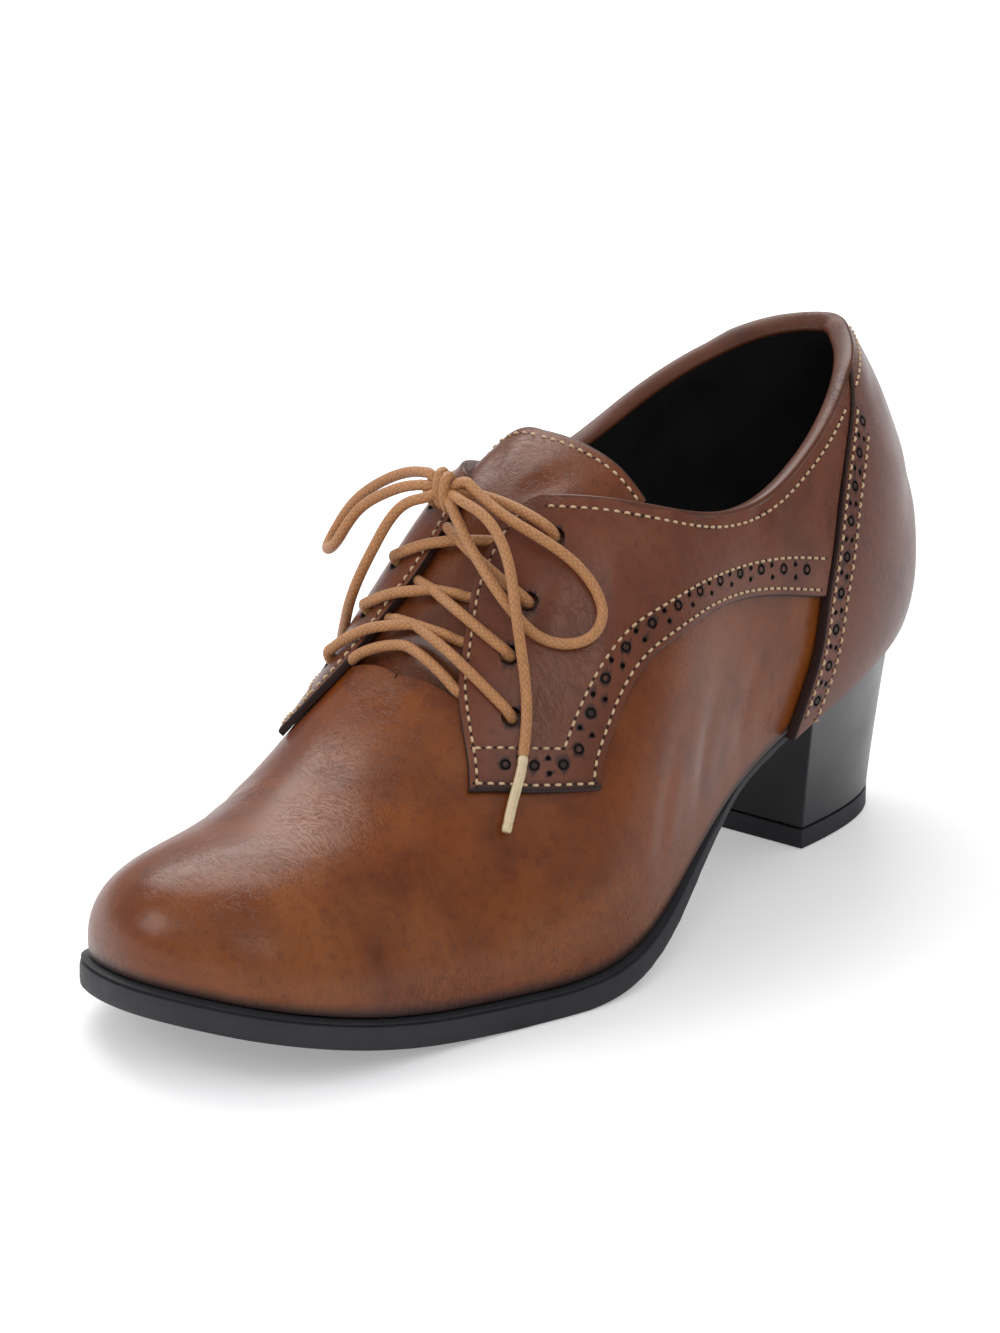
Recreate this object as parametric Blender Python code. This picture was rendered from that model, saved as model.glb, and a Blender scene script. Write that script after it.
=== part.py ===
from math import radians

import bmesh
import bpy
import numpy as np
from mathutils import Matrix, Vector

# Driving sizes in metres. The toe points to -Y and the lateral side of this left shoe to +X.
LENGTH = 0.245
HALF_BALL = 0.042
TOE_SHIFT = -0.0115
RIDGE_SHIFT = -0.0067
SEAT = 0.051
SOLE_EDGE = 0.0069
INSTEP = 0.122
COLLAR = 0.106
BULGE = 0.006
WALL = 0.002
GAP = 0.00045
PANEL_TOP = 0.0021
COUNTER_TOP = 0.0028
BEND_FROM = 0.55
# The heel's back on the feather line, from the middle of the whole shoe's box.
HEEL_X = 0.00482
HEEL_Y = 0.12161

# The feather line, where the upper meets the sole: half widths to each side as shares of HALF_BALL.
OUTLINE = (
    # along, lateral, medial
    (0.00, 0.00, 0.00),
    (0.03, 0.24, 0.27),
    (0.08, 0.48, 0.46),
    (0.15, 0.68, 0.63),
    (0.25, 0.76, 0.74),
    (0.38, 0.75, 0.67),
    (0.50, 0.88, 0.76),
    (0.62, 0.98, 1.06),
    (0.72, 0.88, 1.14),
    (0.80, 0.82, 1.02),
    (0.87, 0.785, 0.91),
    (0.93, 0.70, 0.74),
    (0.97, 0.54, 0.48),
    (0.99, 0.325, 0.255),
    (1.00, 0.00, 0.00),
)
# Height of the feather line as a share of SEAT.
BOTTOM = (
    # along, height
    (0.00, 1.000),
    (0.12, 0.950),
    (0.25, 0.810),
    (0.35, 0.648),
    (0.45, 0.432),
    (0.55, 0.222),
    (0.65, 0.135),
    (0.72, 0.135),
    (0.82, 0.180),
    (1.00, 0.390),
)
# Height of the ridge of the last as a share of INSTEP.
RIDGE = (
    # along, height
    (0.10, 0.990),
    (0.17, 1.000),
    (0.30, 0.990),
    (0.40, 0.948),
    (0.47, 0.890),
    (0.54, 0.812),
    (0.62, 0.650),
    (0.70, 0.490),
    (0.78, 0.396),
    (0.85, 0.363),
    (0.89, 0.357),
)
# Where each rib of the last, from its foot on the feather line, reaches the ridge.
FAN = (
    # around, along_ridge
    (0.00, 0.170),
    (0.10, 0.183),
    (0.20, 0.221),
    (0.30, 0.302),
    (0.40, 0.417),
    (0.50, 0.530),
    (0.60, 0.640),
    (0.70, 0.739),
    (0.80, 0.822),
    (0.90, 0.873),
    (1.00, 0.885),
)
# Fullness of the ribs: outward bulge as a share of BULGE, rise and width as shares of the rib.
FULLNESS = (
    # along, bulge, rise, width
    (0.00, 1.05, 0.25, 0.64),
    (0.25, 1.20, 0.32, 0.66),
    (0.47, 1.00, 0.60, 0.84),
    (0.68, 0.53, 0.38, 0.49),
    (0.86, 0.46, 0.54, 0.56),
    (1.00, 0.50, 0.69, 0.65),
)
# The topline as a share of COLLAR.
TOPLINE = (
    # along, height
    (0.00, 1.005),
    (0.04, 1.022),
    (0.12, 1.020),
    (0.25, 0.903),
    (0.33, 0.850),
    (0.42, 0.870),
    (0.47, 0.907),
    (0.51, 0.932),
    (0.56, 0.926),
)


def column(table, name_index):
    return np.array([row[name_index] for row in table])


def smooth(xs, ys):
    """A natural cubic spline through the rows, straight beyond its ends."""
    xs = np.asarray(xs, float)
    ys = np.asarray(ys, float)
    n = len(xs)
    h = np.diff(xs)
    d = np.diff(ys, axis=0) / (h if ys.ndim == 1 else h[:, None])
    a = np.zeros((n, n))
    b = np.zeros_like(ys)
    a[0, 0] = a[-1, -1] = 1.0
    for i in range(1, n - 1):
        a[i, i - 1] = h[i - 1]
        a[i, i] = 2 * (h[i - 1] + h[i])
        a[i, i + 1] = h[i]
        b[i] = 6 * (d[i] - d[i - 1])
    m = np.linalg.solve(a, b)

    def at(x):
        x = np.asarray(x, float)
        i = np.clip(np.searchsorted(xs, x) - 1, 0, n - 2)
        s = x - xs[i]
        e = h[i]
        if ys.ndim > 1:
            s = s[..., None]
            e = e[..., None]
        slope = (ys[i + 1] - ys[i]) / e - e * (2 * m[i] + m[i + 1]) / 6
        return ys[i] + s * (slope + s * (m[i] / 2 + s * (m[i + 1] - m[i]) / (6 * e)))

    return at


def steady(xs, ys):
    """A monotone cubic through the rows, so that it never overshoots them."""
    xs = np.asarray(xs, float)
    ys = np.asarray(ys, float)
    h = np.diff(xs)
    d = np.diff(ys) / h
    m = np.zeros(len(xs))
    same = d[:-1] * d[1:] > 0
    w1 = 2 * h[1:] + h[:-1]
    w2 = h[1:] + 2 * h[:-1]
    with np.errstate(divide="ignore", invalid="ignore"):
        m[1:-1] = np.where(same, (w1 + w2) / (w1 / d[:-1] + w2 / d[1:]), 0.0)
    m[0] = d[0]
    m[-1] = d[-1]

    def at(x):
        x = np.clip(np.asarray(x, float), xs[0], xs[-1])
        i = np.clip(np.searchsorted(xs, x) - 1, 0, len(xs) - 2)
        t = (x - xs[i]) / h[i]
        return (
            ys[i] * (1 + 2 * t) * (1 - t) ** 2
            + h[i] * m[i] * t * (1 - t) ** 2
            + ys[i + 1] * t * t * (3 - 2 * t)
            + h[i] * m[i + 1] * t * t * (t - 1)
        )

    return at


bottom_at = smooth(column(BOTTOM, 0), column(BOTTOM, 1) * SEAT)
ridge_at = smooth(column(RIDGE, 0), column(RIDGE, 1) * INSTEP)
topline_at = smooth(column(TOPLINE, 0), column(TOPLINE, 1) * COLLAR)
fan_at = steady(column(FAN, 0), column(FAN, 1))
bulge_at = steady(column(FULLNESS, 0), column(FULLNESS, 1) * BULGE)
rise_at = steady(column(FULLNESS, 0), column(FULLNESS, 2))
width_at = steady(column(FULLNESS, 0), column(FULLNESS, 3))


def centre_at(along):
    """The middle line of the foot bends to the inner side from the ball to the toe."""
    return TOE_SHIFT * np.clip((along - BEND_FROM) / (1 - BEND_FROM), 0, 1) ** 1.6


def ridge_x(along):
    """The ridge of the instep lies to the inner side of the middle line."""
    share = np.clip((along - 0.2) / 0.25, 0, 1) * np.clip((0.9 - along) / 0.25, 0, 1)
    return centre_at(along) + RIDGE_SHIFT * share


def feather_line():
    """The outline as one closed curve, with its lengths at the heel, the toe and the heel again."""
    along = column(OUTLINE, 0)
    mid = centre_at(along)
    lateral = mid + column(OUTLINE, 1) * HALF_BALL
    medial = mid - column(OUTLINE, 2) * HALF_BALL
    x = np.concatenate([lateral[:-1], medial[:0:-1]])
    y = np.concatenate([along[:-1], along[:0:-1]]) * -LENGTH
    turns = 3
    x = np.concatenate([x[-turns:], x, x[: turns + 1]])
    y = np.concatenate([y[-turns:], y, y[: turns + 1]])
    step = np.hypot(np.diff(x), np.diff(y)) ** 0.75
    s = np.concatenate([[0], np.cumsum(step)])
    curve = smooth(s, np.stack([x, y], 1))
    start = s[turns]
    toe = s[turns + len(along) - 1]
    end = s[turns + 2 * (len(along) - 1)]
    return curve, start, toe, end


CURVE, S_HEEL, S_TOE, S_END = feather_line()
PLACE = np.array([HEEL_X, HEEL_Y, 0])


def along_of(point):
    """The share of the length, from the heel, at a point."""
    return np.clip((HEEL_Y - point[..., 1]) / LENGTH, 0, 1)


def ridge_slope(along):
    """How steeply the ridge climbs towards the heel."""
    step = 0.005
    return (ridge_at(along + step) - ridge_at(along - step)) / (-2 * step * LENGTH)


def turned(around):
    """The share around the shoe brought back between -1 and 1 past the toe."""
    around = np.asarray(around, float)
    return np.where(around > 1, around - 2, np.where(around < -1, around + 2, around))


def feather(around):
    """The feather line in plan: 0 at the heel, 1 at the toe on the lateral side, -1 on the medial."""
    around = turned(around)
    lateral = S_HEEL + around * (S_TOE - S_HEEL)
    medial = S_END + around * (S_END - S_TOE)
    return CURVE(np.where(around >= 0, lateral, medial))


def last(around, up):
    """A point of the last: around it from the heel, up a rib from the feather line to the ridge."""
    plan = feather(around)
    along = np.clip(-plan[..., 1] / LENGTH, 0, 1)
    foot = np.stack([plan[..., 0], plan[..., 1], bottom_at(along)], -1)
    far = fan_at(np.abs(turned(around)))
    top = np.stack([ridge_x(far), -far * LENGTH, ridge_at(far)], -1)
    side = (foot - top)[..., :2]
    reach = np.linalg.norm(side, axis=-1)
    side = side / reach[..., None]
    height = top[..., 2] - foot[..., 2]
    bulge = bulge_at(along)
    low = foot + np.stack([side[..., 0] * bulge, side[..., 1] * bulge, rise_at(along) * height], -1)
    flat = width_at(along) * reach
    climb = side[..., 1] * flat * ridge_slope(far)
    high = top + np.stack([side[..., 0] * flat, side[..., 1] * flat, climb], -1)
    v = np.asarray(up, float)[..., None]
    p = (1 - v) ** 3 * foot + 3 * (1 - v) ** 2 * v * low + 3 * (1 - v) * v * v * high + v**3 * top
    return p + PLACE


def last_normal(around, up):
    """The outward normal of the last."""
    around, up = np.broadcast_arrays(np.asarray(around, float), np.asarray(up, float))
    step = 0.004
    run = last(around + step, up) - last(around - step, up)
    climb = last(around, np.minimum(up + step, 1)) - last(around, np.maximum(up - step, 0))
    n = np.cross(climb, run)
    size = np.linalg.norm(n, axis=-1)
    slope = ridge_slope(fan_at(np.abs(turned(around))))
    crest = np.stack([0 * slope, -slope, 1 + 0 * slope], -1)
    crest = crest / np.linalg.norm(crest, axis=-1)[..., None]
    n = n / np.maximum(size, 1e-12)[..., None]
    mix = np.clip((up - 0.86) / 0.14, 0, 1)[..., None]
    mix = mix * mix * (3 - 2 * mix)
    n = n * (1 - mix) + crest * mix
    return n / np.linalg.norm(n, axis=-1)[..., None]


def skin(around, up, lift):
    """A point lifted off the last along its normal."""
    return last(around, up) + last_normal(around, up) * np.asarray(lift, float)[..., None]


# The front edge of each quarter, from its lower corner up to the topline.
FACING_EDGE = (
    # around, up
    (0.645, 0.592),
    (0.637, 0.630),
    (0.630, 0.675),
    (0.611, 0.782),
    (0.593, 0.833),
    (0.574, 0.879),
    (0.556, 0.908),
    (0.530, 0.918),
    (0.510, 0.905),
    (0.498, 0.880),
)
# The lower edge of each quarter: a straight foot, then the curved wing back to the counter.
FACING_FOOT = (
    # around, up
    (0.645, 0.592),
    (0.603, 0.475),
    (0.557, 0.362),
)
WING_EDGE = (
    # around, up
    (0.557, 0.362),
    (0.549, 0.399),
    (0.536, 0.422),
    (0.520, 0.441),
    (0.501, 0.445),
    (0.470, 0.419),
    (0.433, 0.383),
    (0.394, 0.351),
    (0.357, 0.326),
    (0.316, 0.295),
    (0.284, 0.265),
)
# The point of the topline that faces each point of the wing, from the counter forwards.
WING_TOP = (
    # around, around_top
    (0.284, 0.151),
    (0.357, 0.270),
    (0.433, 0.370),
    (0.501, 0.434),
    (0.536, 0.462),
    (0.557, 0.482),
)
FOOT_TOP = (0.490, 0.482)
COUNTER_GAP = 0.002
# The front edge of the counter, by height up the rib.
COUNTER_EDGE = (
    # up, around
    (0.00, 0.318),
    (0.08, 0.307),
    (0.15, 0.296),
    (0.26, 0.283),
    (0.35, 0.266),
    (0.43, 0.248),
    (0.51, 0.221),
    (0.59, 0.184),
    (0.66, 0.151),
    (0.75, 0.112),
)
# The throat of the upper, hidden under the quarters except at its lower end.
THROAT = (
    # around, up
    (0.437, 0.640),
    (0.470, 0.650),
    (0.510, 0.660),
    (0.550, 0.620),
    (0.585, 0.560),
    (0.600, 0.580),
    (0.608, 0.680),
    (0.616, 0.800),
    (0.624, 0.920),
    (0.630, 1.000),
)
# The top edge of the tongue, from its side to the ridge.
TONGUE_TOP = (
    # up, around
    (0.66, 0.438),
    (0.75, 0.438),
    (0.87, 0.441),
    (1.00, 0.445),
)
EYELETS = (
    # around, up
    (0.592, 0.628),
    (0.573, 0.721),
    (0.547, 0.758),
    (0.512, 0.793),
)
EYELET_RADIUS = 0.0022
TONGUE_END = 0.620
TONGUE_END_BEND = 0.022
TONGUE_IN = 0.030
EDGE_OUT = 0.0021
# The edge of the outsole: how far out from the feather line as a share of EDGE_OUT, how thick of SOLE_EDGE.
SOLE_SIDE = (
    # along, out, thick
    (0.00, -0.40, 0.35),
    (0.36, -0.40, 0.45),
    (0.42, 0.10, 0.65),
    (0.53, 0.70, 0.98),
    (0.62, 1.00, 1.00),
    (1.00, 1.00, 1.00),
)
HEEL_HALF = 0.021
HEEL_SHIFT = -0.001
HEEL_IN = 0.0009
HEEL_TAPER = 1.12
HEEL_ROUND = 0.75
HEEL_BREAST = 0.22
HEEL_BREAST_TOP = 0.281
HEEL_BACK = 0.058
LIFT_HIGH = 0.0045
INSOLE_IN = 0.003
INSOLE_HIGH = 0.002

LACE = 0.0012
LACE_CLEAR = 0.0003
LACE_OVER = PANEL_TOP + LACE + LACE_CLEAR
LACE_CREST = 0.0022
LACE_UNDER = LACE + LACE_CLEAR
LACE_BEND = 0.0165
LACE_END = 0.022
BAR_AROUND = 0.612
KNOT = (-0.0066, -0.0210, 0.1009)
KNOT_SIZE = (0.0050, 0.0036, 0.0046)
# The routes of the bow, from the knot outwards.
LOOP_RIGHT = (
    # x, y, z
    (-0.0008, -0.0207, 0.1037),
    (0.0075, -0.0217, 0.0998),
    (0.0189, -0.0198, 0.0948),
    (0.0262, -0.0167, 0.0892),
    (0.0305, -0.0163, 0.0844),
    (0.0326, -0.0173, 0.0807),
    (0.0327, -0.0206, 0.0769),
    (0.0282, -0.0260, 0.0754),
    (0.0234, -0.0285, 0.0771),
    (0.0206, -0.0297, 0.0796),
    (0.0170, -0.0304, 0.0831),
    (0.0083, -0.0285, 0.0898),
    (0.0008, -0.0256, 0.0956),
    (-0.0020, -0.0244, 0.0983),
)
END_RIGHT = (
    # x, y, z
    (0.0004, -0.0240, 0.1006),
    (0.0060, -0.0246, 0.0991),
    (0.0123, -0.0264, 0.0951),
    (0.0161, -0.0284, 0.0909),
    (0.0199, -0.0313, 0.0843),
    (0.0230, -0.0333, 0.0761),
    (0.0257, -0.0349, 0.0677),
    (0.0281, -0.0377, 0.0608),
    (0.0299, -0.0411, 0.0548),
)
AGLET_RIGHT = (
    # x, y, z
    (0.0302, -0.0416, 0.0540),
    (0.0312, -0.0457, 0.0475),
    (0.0324, -0.0501, 0.0408),
)
LOOP_LEFT = (
    # x, y, z
    (-0.0120, -0.0204, 0.1036),
    (-0.0172, -0.0190, 0.1023),
    (-0.0256, -0.0180, 0.0983),
    (-0.0336, -0.0175, 0.0920),
    (-0.0386, -0.0180, 0.0847),
    (-0.0387, -0.0210, 0.0813),
    (-0.0343, -0.0240, 0.0837),
    (-0.0312, -0.0245, 0.0880),
    (-0.0274, -0.0240, 0.0932),
    (-0.0213, -0.0235, 0.0977),
    (-0.0155, -0.0230, 0.1005),
    (-0.0123, -0.0228, 0.1014),
)
END_LEFT = (
    # x, y, z
    (-0.0100, -0.0247, 0.0994),
    (-0.0132, -0.0256, 0.0980),
    (-0.0163, -0.0268, 0.0948),
    (-0.0190, -0.0290, 0.0888),
    (-0.0225, -0.0300, 0.0812),
    (-0.0265, -0.0287, 0.0735),
    (-0.0305, -0.0252, 0.0670),
    (-0.0341, -0.0218, 0.0605),
    (-0.0364, -0.0190, 0.0538),
)
AGLET_LEFT = (
    # x, y, z
    (-0.0366, -0.0187, 0.0531),
    (-0.0386, -0.0173, 0.0458),
    (-0.0398, -0.0165, 0.0387),
)

MATERIALS = (
    # slot, red, green, blue, roughness
    ("leather_vamp", 0.250, 0.085, 0.032, 0.38),
    ("leather_quarter", 0.165, 0.062, 0.038, 0.40),
    ("rubber_sole", 0.018, 0.019, 0.022, 0.55),
    ("heel_cover", 0.014, 0.014, 0.017, 0.32),
    ("lining", 0.012, 0.012, 0.014, 0.80),
    ("lace_cord", 0.330, 0.150, 0.055, 0.60),
    ("aglet", 0.620, 0.470, 0.270, 0.35),
)

out_at = steady(column(SOLE_SIDE, 0), column(SOLE_SIDE, 1) * EDGE_OUT)
thick_at = steady(column(SOLE_SIDE, 0), column(SOLE_SIDE, 2) * SOLE_EDGE)
counter_edge_at = steady(column(COUNTER_EDGE, 0), column(COUNTER_EDGE, 1))
throat_at = steady(column(THROAT, 0), column(THROAT, 1))
tongue_top_at = steady(column(TONGUE_TOP, 0), column(TONGUE_TOP, 1))
facing_up_at = steady(column(FACING_EDGE[::-1], 0), column(FACING_EDGE[::-1], 1))


def topline_up(around):
    """How far up its rib the topline lies, found by halving."""
    around = np.asarray(around, float)
    low = np.full(around.shape, 0.05)
    high = np.full(around.shape, 1.0)
    for _ in range(30):
        middle = (low + high) / 2
        p = last(around, middle)
        under = p[..., 2] < topline_at(along_of(p))
        low = np.where(under, middle, low)
        high = np.where(under, high, middle)
    return (low + high) / 2


def upper_top(around):
    """The open edge of the upper: the topline, then the throat, then the ridge."""
    a = np.abs(turned(around))
    top = np.minimum(topline_up(np.where(a < 0.45, around, 0.45 * np.sign(around))), 1)
    start, start_up = THROAT[0]
    blend = np.clip((a - start + 0.02) / 0.02, 0, 1)
    collar = top * (1 - blend) + np.minimum(top, start_up) * blend
    throat = np.where(a > THROAT[-1][0], 1.0, throat_at(a))
    return np.where(a < start, collar, throat)


def along_row(points, count):
    """Points spread evenly by length over a row of points, keeping its ends."""
    points = np.asarray(points, float)
    rows = smooth_row(points)
    step = np.hypot(*np.diff(rows, axis=0).T)
    s = np.concatenate([[0], np.cumsum(step)])
    want = np.linspace(0, s[-1], count)
    return np.stack([np.interp(want, s, rows[:, 0]), np.interp(want, s, rows[:, 1])], 1)


def smooth_row(points):
    """A dense smooth row through a few points."""
    step = np.hypot(*np.diff(points, axis=0).T) ** 0.5
    s = np.concatenate([[0], np.cumsum(step)])
    dense = np.linspace(0, s[-1], 12 * len(points))
    if len(points) < 4:
        return np.stack([np.interp(dense, s, points[:, i]) for i in (0, 1)], 1)
    return smooth(s, points)(dense)


def new_object(name, mesh, slot):
    mesh.materials.append(bpy.data.materials[slot])
    for face in mesh.polygons:
        face.use_smooth = True
    mesh.set_sharp_from_angle(angle=radians(38))
    made = bpy.data.objects.new(name, mesh)
    bpy.context.scene.collection.objects.link(made)
    return made


def solid(name, slot, points, faces):
    """One closed mesh with its faces turned outwards."""
    build = bmesh.new()
    verts = [build.verts.new(p) for p in points]
    for face in faces:
        build.faces.new([verts[i] for i in face])
    bmesh.ops.remove_doubles(build, verts=build.verts, dist=2e-5)
    bmesh.ops.dissolve_degenerate(build, edges=build.edges, dist=1e-6)
    bmesh.ops.triangulate(build, faces=build.faces)
    bmesh.ops.recalc_face_normals(build, faces=build.faces)
    if build.calc_volume(signed=True) < 0:
        bmesh.ops.reverse_faces(build, faces=build.faces)
    mesh = bpy.data.meshes.new(name)
    build.to_mesh(mesh)
    build.free()
    return new_object(name, mesh, slot)


def shell(name, slot, front, back, ring=False, open_top=None):
    """A solid between two grids. A ring closes on itself; open_top says where its top row has a rim."""
    n, m = front.shape[:2]
    points = np.concatenate([front.reshape(-1, 3), back.reshape(-1, 3)])
    ids = np.arange(2 * n * m).reshape(2, n, m)
    outer, inner = ids
    faces = []
    for i in range(n if ring else n - 1):
        j = (i + 1) % n
        for k in range(m - 1):
            faces.append((outer[i, k], outer[j, k], outer[j, k + 1], outer[i, k + 1]))
            faces.append((inner[i, k + 1], inner[j, k + 1], inner[j, k], inner[i, k]))
        faces.append((outer[j, 0], outer[i, 0], inner[i, 0], inner[j, 0]))
        if open_top is None or open_top[i] or open_top[j]:
            faces.append((outer[i, -1], outer[j, -1], inner[j, -1], inner[i, -1]))
    if not ring:
        for k in range(m - 1):
            faces.append((outer[0, k], outer[0, k + 1], inner[0, k + 1], inner[0, k]))
            faces.append((outer[-1, k + 1], outer[-1, k], inner[-1, k], inner[-1, k + 1]))
    return solid(name, slot, points, faces)


def rim(around, out):
    """The feather line in plan, moved outwards by a distance."""
    p = feather(around)
    t = feather(around + 0.002) - feather(around - 0.002)
    t = t / np.linalg.norm(t, axis=-1)[..., None]
    side = np.stack([-t[..., 1], t[..., 0]], -1)
    return p + side * np.asarray(out, float)[..., None] + PLACE[:2]


def slab_grid(out, height, count, across):
    """A grid across the foot at a height that depends on the share along it."""
    around = np.linspace(0, 1, count)
    lateral = rim(around, out(around))
    medial = rim(-around, out(-around))
    q = np.linspace(0, 1, across)[None, :, None]
    plan = lateral[:, None] * (1 - q) + medial[:, None] * q
    z = height(along_of(plan))
    return np.concatenate([plan, z[..., None]], -1)


def make_materials():
    for slot, red, green, blue, roughness in MATERIALS:
        material = bpy.data.materials.new(slot)
        material.use_nodes = True
        node = material.node_tree.nodes["Principled BSDF"]
        node.inputs["Base Color"].default_value = (red, green, blue, 1)
        node.inputs["Roughness"].default_value = roughness


def make_upper():
    """The vamp and the lining wall: open at the collar, along the throat and underneath."""
    back_half = np.linspace(0, 0.43, 17)
    throat_half = np.linspace(0.441, 0.641, 19)
    toe_half = np.linspace(0.672, 1, 12)
    half = np.concatenate([back_half, throat_half, toe_half])
    around = np.concatenate([half, -half[-2:0:-1]])
    top = upper_top(around)
    share = np.linspace(0, 1, 8)
    up = top[:, None] * share[None]
    grid = np.broadcast_to(around[:, None], up.shape)
    front = skin(grid, up, 0 * up)
    back = skin(grid, up, 0 * up - WALL)
    return shell("upper", "leather_vamp", front, back, ring=True, open_top=top < 0.9999)


def quarter_grid(side, edge_count, foot_count, wing_count, rows):
    """The quarter, ruled from its front edge, foot and wing up to the topline, bent to the counter."""
    corner = np.array([[FACING_EDGE[-1][0], topline_up(np.array(side * FACING_EDGE[-1][0]))]])
    edge = along_row(np.concatenate([corner, np.array(FACING_EDGE[-2::-1])]), edge_count)
    foot = along_row(FACING_FOOT, foot_count)
    wing = along_row(WING_EDGE, wing_count)
    low = np.concatenate([edge, foot[1:], wing[1:]])
    around = np.concatenate([
        np.linspace(FACING_EDGE[-1][0], FOOT_TOP[0], edge_count),
        np.linspace(FOOT_TOP[0], FOOT_TOP[1], foot_count)[1:],
        steady(column(WING_TOP, 0), column(WING_TOP, 1))(wing[1:, 0]),
    ])
    high = np.stack([around, topline_up(side * around)], 1)
    w = np.linspace(0, 1, rows)
    grid = low[:, None] * (1 - w)[None, :, None] + high[:, None] * w[None, :, None]
    bend = counter_edge_at(grid[-1, :, 1]) + COUNTER_GAP - grid[-1, :, 0]
    reach = np.clip(np.arange(len(low)) / (len(low) - 1) * 2 - 1, 0, 1) ** 2
    grid[..., 0] += reach[:, None] * bend[None]
    return grid


def make_quarter(name, side):
    """One quarter with its facing, lying over the upper."""
    grid = quarter_grid(side, edge_count=9, foot_count=5, wing_count=15, rows=9)
    grid_around = side * grid[..., 0]
    made = shell(
        name,
        "leather_quarter",
        skin(grid_around, grid[..., 1], 0 * grid_around + PANEL_TOP),
        skin(grid_around, grid[..., 1], 0 * grid_around + GAP),
    )
    cut = made.modifiers.new("eyelets", "BOOLEAN")
    cut.operation = "DIFFERENCE"
    cut.solver = "EXACT"
    cut.object = eyelet_cutter(name + "_eyelets", side)
    return made


def eyelet_cutter(name, side):
    """A short rod through the facing at each eyelet."""
    build = bmesh.new()
    for around, up in EYELETS:
        n = last_normal(side * around, up)
        turn = Vector(n).to_track_quat("Z", "Y").to_matrix().to_4x4()
        middle = skin(side * around, up, (GAP + PANEL_TOP) / 2)
        bmesh.ops.create_cone(
            build,
            cap_ends=True,
            segments=14,
            radius1=EYELET_RADIUS,
            radius2=EYELET_RADIUS,
            depth=2 * PANEL_TOP,
            matrix=Matrix.Translation(Vector(middle)) @ turn,
        )
    mesh = bpy.data.meshes.new(name)
    build.to_mesh(mesh)
    build.free()
    made = bpy.data.objects.new(name, mesh)
    bpy.context.scene.collection.objects.link(made)
    made.hide_render = True
    made.display_type = "WIRE"
    return made


def make_counter():
    """The heel counter, wrapped round the back and down to the heel seat."""
    rows = np.linspace(0, 1, 10)
    across = np.linspace(-1, 1, 25)
    around = np.zeros((len(across), len(rows)))
    up = np.zeros_like(around)
    for j, row in enumerate(rows):
        edge = np.array([0.2, 0.2])
        for _ in range(25):
            top = topline_up(np.array([-1, 1]) * edge)
            edge = (edge + counter_edge_at(row * top)) / 2
        a = np.where(across < 0, across * edge[0], across * edge[1])
        around[:, j] = a
        up[:, j] = row * topline_up(a)
    front = skin(around, up, 0 * up + COUNTER_TOP)
    back = skin(around, up, 0 * up + GAP)
    return shell("counter", "leather_quarter", front, back)


def make_tongue():
    """The tongue, level with the upper in its throat and reaching above the topline."""
    across = np.linspace(-1, 1, 15)
    rows = np.linspace(0, 1, 11)
    q, r = np.meshgrid(across, rows, indexing="ij")
    width = np.abs(q)
    top_up = 1 - width * (1 - TONGUE_TOP[0][0])
    start = tongue_top_at(top_up)
    end = TONGUE_END - TONGUE_END_BEND * width**2
    around = start + r * (end - start)
    edge = np.minimum(throat_at(around) + TONGUE_IN, 0.80)
    up = 1 - width * (1 - edge)
    around = np.where(q < 0, -around, around)
    front = skin(around, up, 0 * up - GAP)
    back = skin(around, up, 0 * up - WALL)
    return shell("tongue", "leather_quarter", front, back)


def make_sole():
    """The outsole: its top follows the feather line, its bottom is flat under the ball."""
    out = lambda a: out_at(along_of(rim(a, 0 * a)))
    top = slab_grid(out, lambda t: bottom_at(t) - GAP, 38, 7)
    under = slab_grid(out, lambda t: np.maximum(bottom_at(t) - thick_at(t), 0), 38, 7)
    return shell("outsole", "rubber_sole", top, under)


def make_insole():
    """The insole, laid inside the lower edge of the upper."""
    inset = lambda a: 0 * a - INSOLE_IN
    top = slab_grid(inset, lambda t: bottom_at(t) + INSOLE_HIGH, 30, 5)
    under = slab_grid(inset, lambda t: bottom_at(t) + GAP / 2, 30, 5)
    return shell("insole", "lining", top, under)


def heel_foot(count):
    """The D outline of the heel where it meets the top lift, from the lateral corner round the back."""
    turn = np.linspace(0, np.pi, count)
    x = HEEL_SHIFT + HEEL_HALF * np.sign(np.cos(turn)) * np.abs(np.cos(turn)) ** HEEL_ROUND
    depth = (HEEL_BREAST - HEEL_BACK) * LENGTH
    y = depth * np.sin(turn) ** HEEL_ROUND - LENGTH * HEEL_BREAST
    return np.stack([x, y], 1) + PLACE[:2]


def loft(name, slot, sections):
    """A solid through closed sections, each read from one corner round to the other, capped by rungs."""
    count = len(sections[0])
    points = np.concatenate(sections)
    faces = []
    for k in range(len(sections) - 1):
        for i in range(count):
            j = (i + 1) % count
            faces.append((k * count + i, k * count + j, (k + 1) * count + j, (k + 1) * count + i))
    end = (len(sections) - 1) * count
    for i in range(count // 2):
        j = count - 1 - i
        if j - i < 2:
            break
        rung = (i, i + 1, j - 1, j) if j - i > 2 else (i, i + 1, j)
        faces.append(rung)
        faces.append(tuple(end + k for k in reversed(rung)))
    return solid(name, slot, points, faces)


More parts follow.
